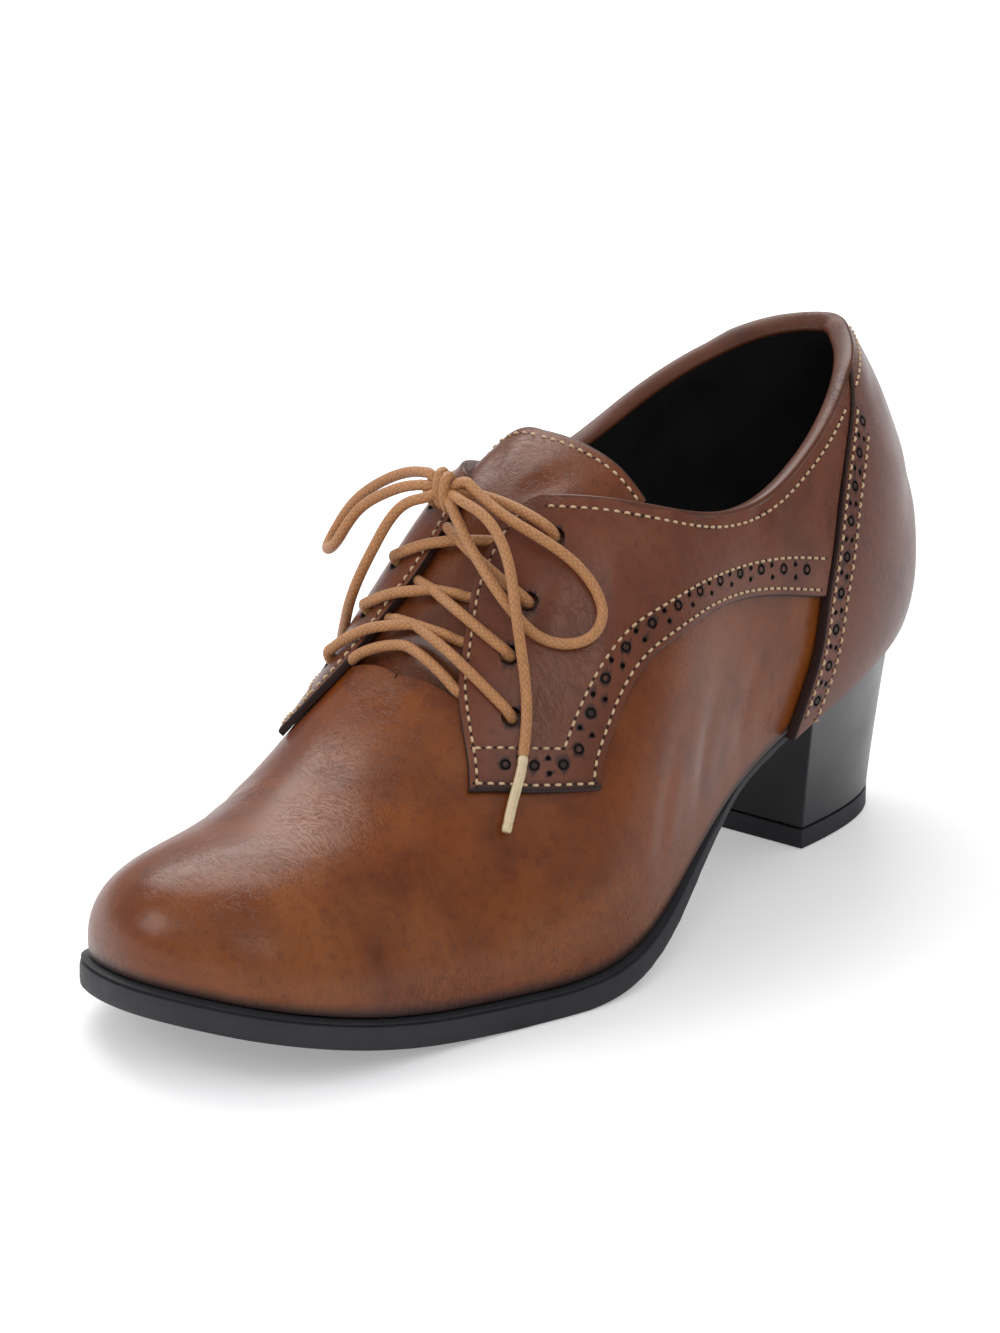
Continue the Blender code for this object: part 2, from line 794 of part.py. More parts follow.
def make_heel():
    """The covered block heel: wide under the seat, narrower at the floor, with a flat breast."""
    count = 25
    foot = heel_foot(count)
    around = np.linspace(HEEL_BREAST_TOP, -HEEL_BREAST_TOP, count)
    seat = rim(around, 0 * around - HEEL_IN)
    t = along_of(seat)
    z = bottom_at(t) - thick_at(t) - GAP
    base = LIFT_HIGH + GAP
    sections = []
    for share in np.linspace(0, 1, 8):
        mix = share**HEEL_TAPER
        plan = foot * (1 - mix) + seat * mix
        sections.append(np.column_stack([plan, base + (z - base) * share]))
    loft("heel", "heel_cover", sections)
    low = np.column_stack([foot, np.zeros(count)])
    high = np.column_stack([foot, np.full(count, LIFT_HIGH)])
    loft("top_lift", "rubber_sole", [low, high])


def evenly(route, gap):
    """Points about a gap apart along a smooth curve through a route."""
    route = np.asarray(route, float)
    s = np.concatenate([[0], np.cumsum(np.linalg.norm(np.diff(route, axis=0), axis=1))])
    dense = smooth(s, route)(np.linspace(0, s[-1], 400))
    run = np.concatenate([[0], np.cumsum(np.linalg.norm(np.diff(dense, axis=0), axis=1))])
    want = np.linspace(0, run[-1], int(round(run[-1] / gap)) + 1)
    return np.stack([np.interp(want, run, dense[:, i]) for i in range(3)], 1)


def strand(first, second, side):
    """The lace from one eyelet, over its facing and the ridge, to just before the other facing."""
    around_a, up_a = first
    around_b, up_b = second
    own_edge = (1 - facing_up_at(around_a)) / (1 - up_a)
    far_edge = -(1 - facing_up_at(around_b) - LACE_END) / (1 - up_b)
    q = np.linspace(1, far_edge, 24)
    around = around_a + (around_b - around_a) * (1 - q) / 2 + LACE_BEND * (1 - q * q)
    up = 1 - np.abs(q) * np.where(q > 0, 1 - up_a, 1 - up_b)
    lift = np.interp(q, (far_edge, 0, own_edge, 1), (LACE_UNDER, LACE_CREST, LACE_OVER, LACE_OVER))
    return skin(side * np.where(q > 0, around, -around), up, lift)


def bar():
    """The lowest stretch of the lace, from one facing straight across to the other."""
    reach = 1 - facing_up_at(BAR_AROUND) - LACE_END
    q = np.linspace(1, -1, 16)
    return skin(np.where(q > 0, BAR_AROUND, -BAR_AROUND), 1 - np.abs(q) * reach, 0 * q + LACE_UNDER)


def tube(name, points, sides=8):
    """A closed tube along a row of points."""
    points = evenly(points, 2 * LACE)
    run = np.gradient(points, axis=0)
    run = run / np.linalg.norm(run, axis=1)[:, None]
    across = np.cross(run, (0, 0, 1))
    across = across / np.linalg.norm(across, axis=1)[:, None]
    rise = np.cross(across, run)
    turn = np.linspace(0, 2 * np.pi, sides, endpoint=False)
    ring = across[:, None] * np.cos(turn)[None, :, None] + rise[:, None] * np.sin(turn)[None, :, None]
    rings = points[:, None] + LACE * ring
    faces = [tuple(range(sides)), tuple(len(rings) * sides - 1 - k for k in range(sides))]
    for i in range(len(rings) - 1):
        for k in range(sides):
            j = (k + 1) % sides
            faces.append((i * sides + k, (i + 1) * sides + k, (i + 1) * sides + j, i * sides + j))
    return solid(name, "lace_cord", rings.reshape(-1, 3), faces)


def make_crossings():
    """The bar and the three crossings between the facings, each crossing one solid."""
    tube("lace_bar", bar())
    for k in range(len(EYELETS) - 1):
        first = tube(f"lace_cross_{k + 1}", strand(EYELETS[k], EYELETS[k + 1], 1))
        other = tube(f"lace_cross_{k + 1}_other", strand(EYELETS[k], EYELETS[k + 1], -1))
        other.hide_render = True
        other.display_type = "WIRE"
        join = first.modifiers.new("other strand", "BOOLEAN")
        join.operation = "UNION"
        join.solver = "EXACT"
        join.object = other


def cord(name, slot, route):
    """A round cord along a route."""
    points = evenly(route, 4 * LACE)
    curve = bpy.data.curves.new(name, "CURVE")
    curve.dimensions = "3D"
    curve.bevel_depth = LACE
    curve.bevel_resolution = 2
    curve.use_fill_caps = True
    spline = curve.splines.new("POLY")
    spline.points.add(len(points) - 1)
    for place, point in zip(spline.points, points):
        place.co = (*point, 1)
    curve.materials.append(bpy.data.materials[slot])
    made = bpy.data.objects.new(name, curve)
    bpy.context.scene.collection.objects.link(made)


def make_bow():
    """The knot, with a loop and an end to each side, and the tips of the ends."""
    build = bmesh.new()
    size = Matrix.Diagonal((*KNOT_SIZE, 1))
    place = Matrix.Translation(KNOT) @ size
    bmesh.ops.create_uvsphere(build, u_segments=14, v_segments=9, radius=1, matrix=place)
    mesh = bpy.data.meshes.new("lace_knot")
    build.to_mesh(mesh)
    build.free()
    new_object("lace_knot", mesh, "lace_cord")
    cord("lace_loop_right", "lace_cord", LOOP_RIGHT)
    cord("lace_loop_left", "lace_cord", LOOP_LEFT)
    cord("lace_end_right", "lace_cord", END_RIGHT)
    cord("lace_end_left", "lace_cord", END_LEFT)
    cord("aglet_right", "aglet", AGLET_RIGHT)
    cord("aglet_left", "aglet", AGLET_LEFT)


def main():
    for old in list(bpy.data.objects):
        bpy.data.objects.remove(old)
    make_materials()
    make_upper()
    make_quarter("quarter_lateral", 1)
    make_quarter("quarter_medial", -1)
    make_counter()
    make_tongue()
    make_sole()
    make_insole()
    make_heel()
    make_crossings()
    make_bow()


main()
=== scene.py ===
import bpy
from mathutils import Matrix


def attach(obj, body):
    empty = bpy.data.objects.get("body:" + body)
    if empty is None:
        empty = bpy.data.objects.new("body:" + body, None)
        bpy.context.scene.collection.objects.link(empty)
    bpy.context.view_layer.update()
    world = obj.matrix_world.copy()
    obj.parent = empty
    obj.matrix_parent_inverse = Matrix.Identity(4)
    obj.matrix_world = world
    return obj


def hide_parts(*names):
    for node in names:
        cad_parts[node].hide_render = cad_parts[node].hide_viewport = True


bl_info = {
    "name": "Heeled lace-up shoe",
    "version": (1, 0, 0),
    "blender": (4, 5, 0),
    "location": "3D View > Sidebar > Shoe",
    "description": "Dresses the packed shoe: leather, stitching, punched holes, lace, sole and heel",
    "category": "Object",
}

from math import cos, pi, radians, sin

import bmesh
import bpy
import numpy as np
from mathutils import Matrix, Vector

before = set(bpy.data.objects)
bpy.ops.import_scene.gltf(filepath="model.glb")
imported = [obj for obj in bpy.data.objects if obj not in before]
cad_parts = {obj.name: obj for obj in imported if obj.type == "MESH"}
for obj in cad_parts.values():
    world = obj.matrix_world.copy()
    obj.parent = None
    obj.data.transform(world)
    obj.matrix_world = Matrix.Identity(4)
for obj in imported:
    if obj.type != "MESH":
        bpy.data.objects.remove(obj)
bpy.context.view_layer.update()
BODY = "root"

# Sizes of the last in metres. The toe points to -Y and the lateral side of this left shoe to +X.
LENGTH = 0.245
HALF_BALL = 0.042
TOE_SHIFT = -0.0115
RIDGE_SHIFT = -0.0067
SEAT = 0.051
SOLE_EDGE = 0.0069
INSTEP = 0.122
COLLAR = 0.106
BULGE = 0.006
WALL = 0.002
GAP = 0.00045
PANEL_TOP = 0.0021
COUNTER_TOP = 0.0028
BEND_FROM = 0.55
PLACE = np.array([0.00482, 0.12161, 0])

# Half widths of the feather line, where the upper meets the sole, as shares of HALF_BALL.
OUTLINE = (
    # along, lateral, medial
    (0.00, 0.00, 0.00),
    (0.03, 0.24, 0.27),
    (0.08, 0.48, 0.46),
    (0.15, 0.68, 0.63),
    (0.25, 0.76, 0.74),
    (0.38, 0.75, 0.67),
    (0.50, 0.88, 0.76),
    (0.62, 0.98, 1.06),
    (0.72, 0.88, 1.14),
    (0.80, 0.82, 1.02),
    (0.87, 0.785, 0.91),
    (0.93, 0.70, 0.74),
    (0.97, 0.54, 0.48),
    (0.99, 0.325, 0.255),
    (1.00, 0.00, 0.00),
)
# Height of the feather line as a share of SEAT.
BOTTOM = (
    # along, height
    (0.00, 1.000),
    (0.12, 0.950),
    (0.25, 0.810),
    (0.35, 0.648),
    (0.45, 0.432),
    (0.55, 0.222),
    (0.65, 0.135),
    (0.72, 0.135),
    (0.82, 0.180),
    (1.00, 0.390),
)
# Height of the ridge of the last as a share of INSTEP.
RIDGE = (
    # along, height
    (0.10, 0.990),
    (0.17, 1.000),
    (0.30, 0.990),
    (0.40, 0.948),
    (0.47, 0.890),
    (0.54, 0.812),
    (0.62, 0.650),
    (0.70, 0.490),
    (0.78, 0.396),
    (0.85, 0.363),
    (0.89, 0.357),
)
# Where each rib of the last, from its foot on the feather line, reaches the ridge.
FAN = (
    # around, along_ridge
    (0.00, 0.170),
    (0.10, 0.183),
    (0.20, 0.221),
    (0.30, 0.302),
    (0.40, 0.417),
    (0.50, 0.530),
    (0.60, 0.640),
    (0.70, 0.739),
    (0.80, 0.822),
    (0.90, 0.873),
    (1.00, 0.885),
)
# Fullness of the ribs: outward bulge as a share of BULGE, rise and width as shares of the rib.
FULLNESS = (
    # along, bulge, rise, width
    (0.00, 1.05, 0.25, 0.64),
    (0.25, 1.20, 0.32, 0.66),
    (0.47, 1.00, 0.60, 0.84),
    (0.68, 0.53, 0.38, 0.49),
    (0.86, 0.46, 0.54, 0.56),
    (1.00, 0.50, 0.69, 0.65),
)
# The topline as a share of COLLAR.
TOPLINE = (
    # along, height
    (0.00, 1.005),
    (0.04, 1.022),
    (0.12, 1.020),
    (0.25, 0.903),
    (0.33, 0.850),
    (0.42, 0.870),
    (0.47, 0.907),
    (0.51, 0.932),
    (0.56, 0.926),
)
# The front edge of each quarter, from its lower corner up to the topline.
FACING_EDGE = (
    # around, up
    (0.645, 0.592),
    (0.637, 0.630),
    (0.630, 0.675),
    (0.611, 0.782),
    (0.593, 0.833),
    (0.574, 0.879),
    (0.556, 0.908),
    (0.530, 0.918),
    (0.510, 0.905),
    (0.498, 0.880),
)
FACING_FOOT = (
    # around, up
    (0.645, 0.592),
    (0.603, 0.475),
    (0.557, 0.362),
)
WING_EDGE = (
    # around, up
    (0.557, 0.362),
    (0.549, 0.399),
    (0.536, 0.422),
    (0.520, 0.441),
    (0.501, 0.445),
    (0.470, 0.419),
    (0.433, 0.383),
    (0.394, 0.351),
    (0.357, 0.326),
    (0.316, 0.295),
    (0.284, 0.265),
)
WING_TOP = (
    # around, around_top
    (0.284, 0.151),
    (0.357, 0.270),
    (0.433, 0.370),
    (0.501, 0.434),
    (0.536, 0.462),
    (0.557, 0.482),
)
FOOT_TOP = (0.490, 0.482)
COUNTER_GAP = 0.002
COUNTER_EDGE = (
    # up, around
    (0.00, 0.318),
    (0.08, 0.307),
    (0.15, 0.296),
    (0.26, 0.283),
    (0.35, 0.266),
    (0.43, 0.248),
    (0.51, 0.221),
    (0.59, 0.184),
    (0.66, 0.151),
    (0.75, 0.112),
)
THROAT = (
    # around, up
    (0.437, 0.640),
    (0.470, 0.650),
    (0.510, 0.660),
    (0.550, 0.620),
    (0.585, 0.560),
    (0.600, 0.580),
    (0.608, 0.680),
    (0.616, 0.800),
    (0.624, 0.920),
    (0.630, 1.000),
)
TONGUE_TOP = (
    # up, around
    (0.66, 0.438),
    (0.75, 0.438),
    (0.87, 0.441),
    (1.00, 0.445),
)
TONGUE_END_BEND = 0.022
TONGUE_IN = 0.030
TONGUE_TUCK = 0.650
EYELETS = (
    # around, up
    (0.592, 0.628),
    (0.573, 0.721),
    (0.547, 0.758),
    (0.512, 0.793),
)
EYELET_RADIUS = 0.0022
# The stitch line over the punched strip of the facing's foot, and over the wing band behind it.
STRIP_TOP = (
    # around, up
    (0.629, 0.667),
    (0.600, 0.575),
    (0.571, 0.488),
)
BAND_TOP = (
    # around, up
    (0.571, 0.488),
    (0.562, 0.503),
    (0.548, 0.521),
    (0.528, 0.533),
    (0.505, 0.528),
    (0.478, 0.499),
    (0.439, 0.454),
    (0.387, 0.407),
    (0.333, 0.379),
    (0.300, 0.358),
    (0.271, 0.330),
)
EDGE_OUT = 0.0021
SOLE_SIDE = (
    # along, out, thick
    (0.00, -0.40, 0.35),
    (0.36, -0.40, 0.45),
    (0.42, 0.10, 0.65),
    (0.53, 0.70, 0.98),
    (0.62, 1.00, 1.00),
    (1.00, 1.00, 1.00),
)
HEEL_HALF = 0.021
HEEL_SHIFT = -0.001
HEEL_IN = 0.0009
HEEL_TAPER = 1.12
HEEL_ROUND = 0.75
HEEL_BREAST = 0.22
HEEL_BREAST_TOP = 0.281
HEEL_BACK = 0.058
LIFT_HIGH = 0.0045

LACE = 0.0012
LACE_CLEAR = 0.0003
LACE_OVER = PANEL_TOP + LACE + LACE_CLEAR
LACE_CREST = 0.0022
LACE_UNDER = LACE + LACE_CLEAR
LACE_BEND = 0.0165
BAR_AROUND = 0.612
KNOT = (-0.0066, -0.0210, 0.1009)
ROUTES = {
    "lace_loop_right": (
        # x, y, z
        (-0.0008, -0.0207, 0.1037),
        (0.0075, -0.0217, 0.0998),
        (0.0189, -0.0198, 0.0948),
        (0.0262, -0.0167, 0.0892),
        (0.0305, -0.0163, 0.0844),
        (0.0326, -0.0173, 0.0807),
        (0.0327, -0.0206, 0.0769),
        (0.0282, -0.0260, 0.0754),
        (0.0234, -0.0285, 0.0771),
        (0.0206, -0.0297, 0.0796),
        (0.0170, -0.0304, 0.0831),
        (0.0083, -0.0285, 0.0898),
        (0.0008, -0.0256, 0.0956),
        (-0.0020, -0.0244, 0.0983),
    ),
    "lace_end_right": (
        # x, y, z
        (0.0004, -0.0240, 0.1006),
        (0.0060, -0.0246, 0.0991),
        (0.0123, -0.0264, 0.0951),
        (0.0161, -0.0284, 0.0909),
        (0.0199, -0.0313, 0.0843),
        (0.0230, -0.0333, 0.0761),
        (0.0257, -0.0349, 0.0677),
        (0.0281, -0.0377, 0.0608),
        (0.0299, -0.0411, 0.0548),
    ),
    "lace_loop_left": (
        # x, y, z
        (-0.0120, -0.0204, 0.1036),
        (-0.0172, -0.0190, 0.1023),
        (-0.0256, -0.0180, 0.0983),
        (-0.0336, -0.0175, 0.0920),
        (-0.0386, -0.0180, 0.0847),
        (-0.0387, -0.0210, 0.0813),
        (-0.0343, -0.0240, 0.0837),
        (-0.0312, -0.0245, 0.0880),
        (-0.0274, -0.0240, 0.0932),
        (-0.0213, -0.0235, 0.0977),
        (-0.0155, -0.0230, 0.1005),
        (-0.0123, -0.0228, 0.1014),
    ),
    "lace_end_left": (
        # x, y, z
        (-0.0100, -0.0247, 0.0994),
        (-0.0132, -0.0256, 0.0980),
        (-0.0163, -0.0268, 0.0948),
        (-0.0190, -0.0290, 0.0888),
        (-0.0225, -0.0300, 0.0812),
        (-0.0265, -0.0287, 0.0735),
        (-0.0305, -0.0252, 0.0670),
        (-0.0341, -0.0218, 0.0605),
        (-0.0364, -0.0190, 0.0538),
    ),
}
AGLETS = {
    "aglet_right": (
        # x, y, z
        (0.0302, -0.0416, 0.0540),
        (0.0312, -0.0457, 0.0475),
        (0.0324, -0.0501, 0.0408),
    ),
    "aglet_left": (
        # x, y, z
        (-0.0366, -0.0187, 0.0531),
        (-0.0386, -0.0173, 0.0458),
        (-0.0398, -0.0165, 0.0387),
    ),
}
# The camera, fitted to the photograph's outline: its axes, its aim, its distance and its lens in mm.
CAMERA_RIGHT = (0.79391237, 0.60799397, 0.00681684)
CAMERA_UP = (-0.21198214, 0.26626145, 0.9403023)
CAMERA_BACK = (0.56988307, -0.74796268, 0.34027212)
CAMERA_AIM = (-0.004216, -0.004637, 0.056897)
CAMERA_FAR = 2.28901
CAMERA_LENS = 382.39
SENSOR_WIDTH = 36.0
FLOOR_REACH = 4.0
FLOOR_LOW = -0.0002
ROOM_COLOUR = (0.97, 0.98, 1.0, 1)
LAMPS = (
    # name, place, toward, size, colour
    ("window", (-0.75, 0.55, 1.15), (0, 0, 0.04), 1.2, (1.0, 0.985, 0.96)),
    ("front lamp", (1.1, -1.0, 1.25), (0, 0, 0.05), 1.1, (1.0, 0.99, 0.98)),
    ("toe lamp", (-0.9, -1.1, 0.8), (0, -0.05, 0.04), 0.7, (1.0, 0.99, 0.98)),
)


def column(table, index):
    """One column of a table as an array."""
    return np.array([row[index] for row in table])


def smooth(xs, ys):
    """A natural cubic spline through the rows, straight beyond its ends."""
    xs = np.asarray(xs, float)
    ys = np.asarray(ys, float)
    n = len(xs)
    h = np.diff(xs)
    d = np.diff(ys, axis=0) / (h if ys.ndim == 1 else h[:, None])
    a = np.zeros((n, n))
    b = np.zeros_like(ys)
    a[0, 0] = a[-1, -1] = 1.0
    for i in range(1, n - 1):
        a[i, i - 1] = h[i - 1]
        a[i, i] = 2 * (h[i - 1] + h[i])
        a[i, i + 1] = h[i]
        b[i] = 6 * (d[i] - d[i - 1])
    m = np.linalg.solve(a, b)

    def at(x):
        x = np.asarray(x, float)
        i = np.clip(np.searchsorted(xs, x) - 1, 0, n - 2)
        s = x - xs[i]
        e = h[i]
        if ys.ndim > 1:
            s = s[..., None]
            e = e[..., None]
        slope = (ys[i + 1] - ys[i]) / e - e * (2 * m[i] + m[i + 1]) / 6
        return ys[i] + s * (slope + s * (m[i] / 2 + s * (m[i + 1] - m[i]) / (6 * e)))

    return at


def steady(xs, ys):
    """A monotone cubic through the rows, so that it never overshoots them."""
    xs = np.asarray(xs, float)
    ys = np.asarray(ys, float)
    h = np.diff(xs)
    d = np.diff(ys) / h
    m = np.zeros(len(xs))
    same = d[:-1] * d[1:] > 0
    w1 = 2 * h[1:] + h[:-1]
    w2 = h[1:] + 2 * h[:-1]
    with np.errstate(divide="ignore", invalid="ignore"):
        m[1:-1] = np.where(same, (w1 + w2) / (w1 / d[:-1] + w2 / d[1:]), 0.0)
    m[0] = d[0]
    m[-1] = d[-1]

    def at(x):
        x = np.clip(np.asarray(x, float), xs[0], xs[-1])
        i = np.clip(np.searchsorted(xs, x) - 1, 0, len(xs) - 2)
        t = (x - xs[i]) / h[i]
        return (
            ys[i] * (1 + 2 * t) * (1 - t) ** 2
            + h[i] * m[i] * t * (1 - t) ** 2
            + ys[i + 1] * t * t * (3 - 2 * t)
            + h[i] * m[i + 1] * t * t * (t - 1)
        )

    return at


bottom_at = smooth(column(BOTTOM, 0), column(BOTTOM, 1) * SEAT)
ridge_at = smooth(column(RIDGE, 0), column(RIDGE, 1) * INSTEP)
topline_at = smooth(column(TOPLINE, 0), column(TOPLINE, 1) * COLLAR)
fan_at = steady(column(FAN, 0), column(FAN, 1))
bulge_at = steady(column(FULLNESS, 0), column(FULLNESS, 1) * BULGE)
rise_at = steady(column(FULLNESS, 0), column(FULLNESS, 2))
width_at = steady(column(FULLNESS, 0), column(FULLNESS, 3))


def centre_at(along):
    """The middle line of the foot bends to the inner side from the ball to the toe."""
    return TOE_SHIFT * np.clip((along - BEND_FROM) / (1 - BEND_FROM), 0, 1) ** 1.6


def ridge_x(along):
    """The ridge of the instep lies to the inner side of the middle line."""
    share = np.clip((along - 0.2) / 0.25, 0, 1) * np.clip((0.9 - along) / 0.25, 0, 1)
    return centre_at(along) + RIDGE_SHIFT * share


def feather_line():
    """The outline as one closed curve, with its lengths at the heel, the toe and the heel again."""
    along = column(OUTLINE, 0)
    mid = centre_at(along)
    lateral = mid + column(OUTLINE, 1) * HALF_BALL
    medial = mid - column(OUTLINE, 2) * HALF_BALL
    x = np.concatenate([lateral[:-1], medial[:0:-1]])
    y = np.concatenate([along[:-1], along[:0:-1]]) * -LENGTH
    turns = 3
    x = np.concatenate([x[-turns:], x, x[: turns + 1]])
    y = np.concatenate([y[-turns:], y, y[: turns + 1]])
    step = np.hypot(np.diff(x), np.diff(y)) ** 0.75
    s = np.concatenate([[0], np.cumsum(step)])
    curve = smooth(s, np.stack([x, y], 1))
    start = s[turns]
    toe = s[turns + len(along) - 1]
    end = s[turns + 2 * (len(along) - 1)]
    return curve, start, toe, end


CURVE, S_HEEL, S_TOE, S_END = feather_line()


def along_of(point):
    """The share of the length, from the heel, at a point."""
    return np.clip((PLACE[1] - point[..., 1]) / LENGTH, 0, 1)


def ridge_slope(along):
    """How steeply the ridge climbs towards the heel."""
    step = 0.005
    return (ridge_at(along + step) - ridge_at(along - step)) / (-2 * step * LENGTH)


def turned(around):
    """The share around the shoe brought back between -1 and 1 past the toe."""
    around = np.asarray(around, float)
    return np.where(around > 1, around - 2, np.where(around < -1, around + 2, around))


def feather(around):
    """The feather line in plan: 0 at the heel, 1 at the toe on the lateral side, -1 on the medial."""
    around = turned(around)
    lateral = S_HEEL + around * (S_TOE - S_HEEL)
    medial = S_END + around * (S_END - S_TOE)
    return CURVE(np.where(around >= 0, lateral, medial))


def last(around, up):
    """A point of the last: around it from the heel, up a rib from the feather line to the ridge."""
    plan = feather(around)
    along = np.clip(-plan[..., 1] / LENGTH, 0, 1)
    foot = np.stack([plan[..., 0], plan[..., 1], bottom_at(along)], -1)
    far = fan_at(np.abs(turned(around)))
    top = np.stack([ridge_x(far), -far * LENGTH, ridge_at(far)], -1)
    side = (foot - top)[..., :2]
    reach = np.linalg.norm(side, axis=-1)
    side = side / reach[..., None]
    height = top[..., 2] - foot[..., 2]
    bulge = bulge_at(along)
    low = foot + np.stack([side[..., 0] * bulge, side[..., 1] * bulge, rise_at(along) * height], -1)
    flat = width_at(along) * reach
    climb = side[..., 1] * flat * ridge_slope(far)
    high = top + np.stack([side[..., 0] * flat, side[..., 1] * flat, climb], -1)
    v = np.asarray(up, float)[..., None]
    p = (1 - v) ** 3 * foot + 3 * (1 - v) ** 2 * v * low + 3 * (1 - v) * v * v * high + v**3 * top
    return p + PLACE


def last_normal(around, up):
    """The outward normal of the last."""
    around, up = np.broadcast_arrays(np.asarray(around, float), np.asarray(up, float))
    step = 0.004
    run = last(around + step, up) - last(around - step, up)
    climb = last(around, np.minimum(up + step, 1)) - last(around, np.maximum(up - step, 0))
    n = np.cross(climb, run)
    size = np.linalg.norm(n, axis=-1)
    slope = ridge_slope(fan_at(np.abs(turned(around))))
    crest = np.stack([0 * slope, -slope, 1 + 0 * slope], -1)
    crest = crest / np.linalg.norm(crest, axis=-1)[..., None]
    n = n / np.maximum(size, 1e-12)[..., None]
    mix = np.clip((up - 0.86) / 0.14, 0, 1)[..., None]
    mix = mix * mix * (3 - 2 * mix)
    n = n * (1 - mix) + crest * mix
    return n / np.linalg.norm(n, axis=-1)[..., None]


def skin(around, up, lift):
    """A point lifted off the last along its normal."""
    return last(around, up) + last_normal(around, up) * np.asarray(lift, float)[..., None]


out_at = steady(column(SOLE_SIDE, 0), column(SOLE_SIDE, 1) * EDGE_OUT)
thick_at = steady(column(SOLE_SIDE, 0), column(SOLE_SIDE, 2) * SOLE_EDGE)
counter_edge_at = steady(column(COUNTER_EDGE, 0), column(COUNTER_EDGE, 1))
throat_at = steady(column(THROAT, 0), column(THROAT, 1))
tongue_top_at = steady(column(TONGUE_TOP, 0), column(TONGUE_TOP, 1))
facing_up_at = steady(column(FACING_EDGE[::-1], 0), column(FACING_EDGE[::-1], 1))


def topline_up(around):
    """How far up its rib the topline lies, found by halving."""
    around = np.asarray(around, float)
    low = np.full(around.shape, 0.05)
    high = np.full(around.shape, 1.0)
    for _ in range(30):
        middle = (low + high) / 2
        p = last(around, middle)
        under = p[..., 2] < topline_at(along_of(p))
        low = np.where(under, middle, low)
        high = np.where(under, high, middle)
    return (low + high) / 2


def upper_top(around):
    """The open edge of the upper: the topline, then the throat, then the ridge."""
    a = np.abs(turned(around))
    top = np.minimum(topline_up(np.where(a < 0.45, around, 0.45 * np.sign(around))), 1)
    start, start_up = THROAT[0]
    blend = np.clip((a - start + 0.02) / 0.02, 0, 1)
    collar = top * (1 - blend) + np.minimum(top, start_up) * blend
    throat = np.where(a > THROAT[-1][0], 1.0, throat_at(a))
    return np.where(a < start, collar, throat)


def run_length(points):
    """The length along a row of points, starting at 0."""
    return np.concatenate([[0], np.cumsum(np.linalg.norm(np.diff(points, axis=0), axis=1))])


def row_at(wanted, run, rows):
    """A row of points read off at given lengths along it."""
    return np.stack([np.interp(wanted, run, values) for values in np.asarray(rows).T], -1)


def along_row(points, count):
    """Points spread evenly by length over a row of points, keeping its ends."""
    rows = smooth_row(np.asarray(points, float))
    run = run_length(rows)
    return row_at(np.linspace(0, run[-1], count), run, rows)


def smooth_row(points):
    """A dense smooth row through a few points."""
    step = np.hypot(*np.diff(points, axis=0).T) ** 0.5
    s = np.concatenate([[0], np.cumsum(step)])
    dense = np.linspace(0, s[-1], 12 * len(points))
    if len(points) < 4:
        return row_at(dense, s, points)
    return smooth(s, points)(dense)


def rim(around, out):
    """The feather line in plan, moved outwards by a distance."""
    p = feather(around)
    t = feather(around + 0.002) - feather(around - 0.002)
    t = t / np.linalg.norm(t, axis=-1)[..., None]
    side = np.stack([-t[..., 1], t[..., 0]], -1)
    return p + side * np.asarray(out, float)[..., None] + PLACE[:2]


def quarter_grid(side, edge_count, foot_count, wing_count, w):
    """The quarter, ruled from its front edge, foot and wing up to the topline, bent to the counter."""
    corner = np.array([[FACING_EDGE[-1][0], topline_up(np.array(side * FACING_EDGE[-1][0]))]])
    edge = along_row(np.concatenate([corner, np.array(FACING_EDGE[-2::-1])]), edge_count)
    foot = along_row(FACING_FOOT, foot_count)
    wing = along_row(WING_EDGE, wing_count)
    low = np.concatenate([edge, foot[1:], wing[1:]])
    around = np.concatenate([
        np.linspace(FACING_EDGE[-1][0], FOOT_TOP[0], edge_count),
        np.linspace(FOOT_TOP[0], FOOT_TOP[1], foot_count)[1:],
        steady(column(WING_TOP, 0), column(WING_TOP, 1))(wing[1:, 0]),
    ])
    high = np.stack([around, topline_up(side * around)], 1)
    grid = low[:, None] * (1 - w)[None, :, None] + high[:, None] * w[None, :, None]
    bend = counter_edge_at(grid[-1, :, 1]) + COUNTER_GAP - grid[-1, :, 0]
    reach = np.clip(np.arange(len(low)) / (len(low) - 1) * 2 - 1, 0, 1) ** 2
    grid[..., 0] += reach[:, None] * bend[None]
    return grid


def heel_foot(count):
    """The D outline of the heel where it meets the top lift, from the lateral corner round the back."""
    turn = np.linspace(0, np.pi, count)
    x = HEEL_SHIFT + HEEL_HALF * np.sign(np.cos(turn)) * np.abs(np.cos(turn)) ** HEEL_ROUND
    depth = (HEEL_BREAST - HEEL_BACK) * LENGTH
    y = depth * np.sin(turn) ** HEEL_ROUND - LENGTH * HEEL_BREAST
    return np.stack([x, y], 1) + PLACE[:2]


def evenly(route, gap):
    """Points about a gap apart along a smooth curve through a route."""
    route = np.asarray(route, float)
    s = run_length(route)
    dense = smooth(s, route)(np.linspace(0, s[-1], 400))
    run = run_length(dense)
    return row_at(np.linspace(0, run[-1], int(round(run[-1] / gap)) + 1), run, dense)


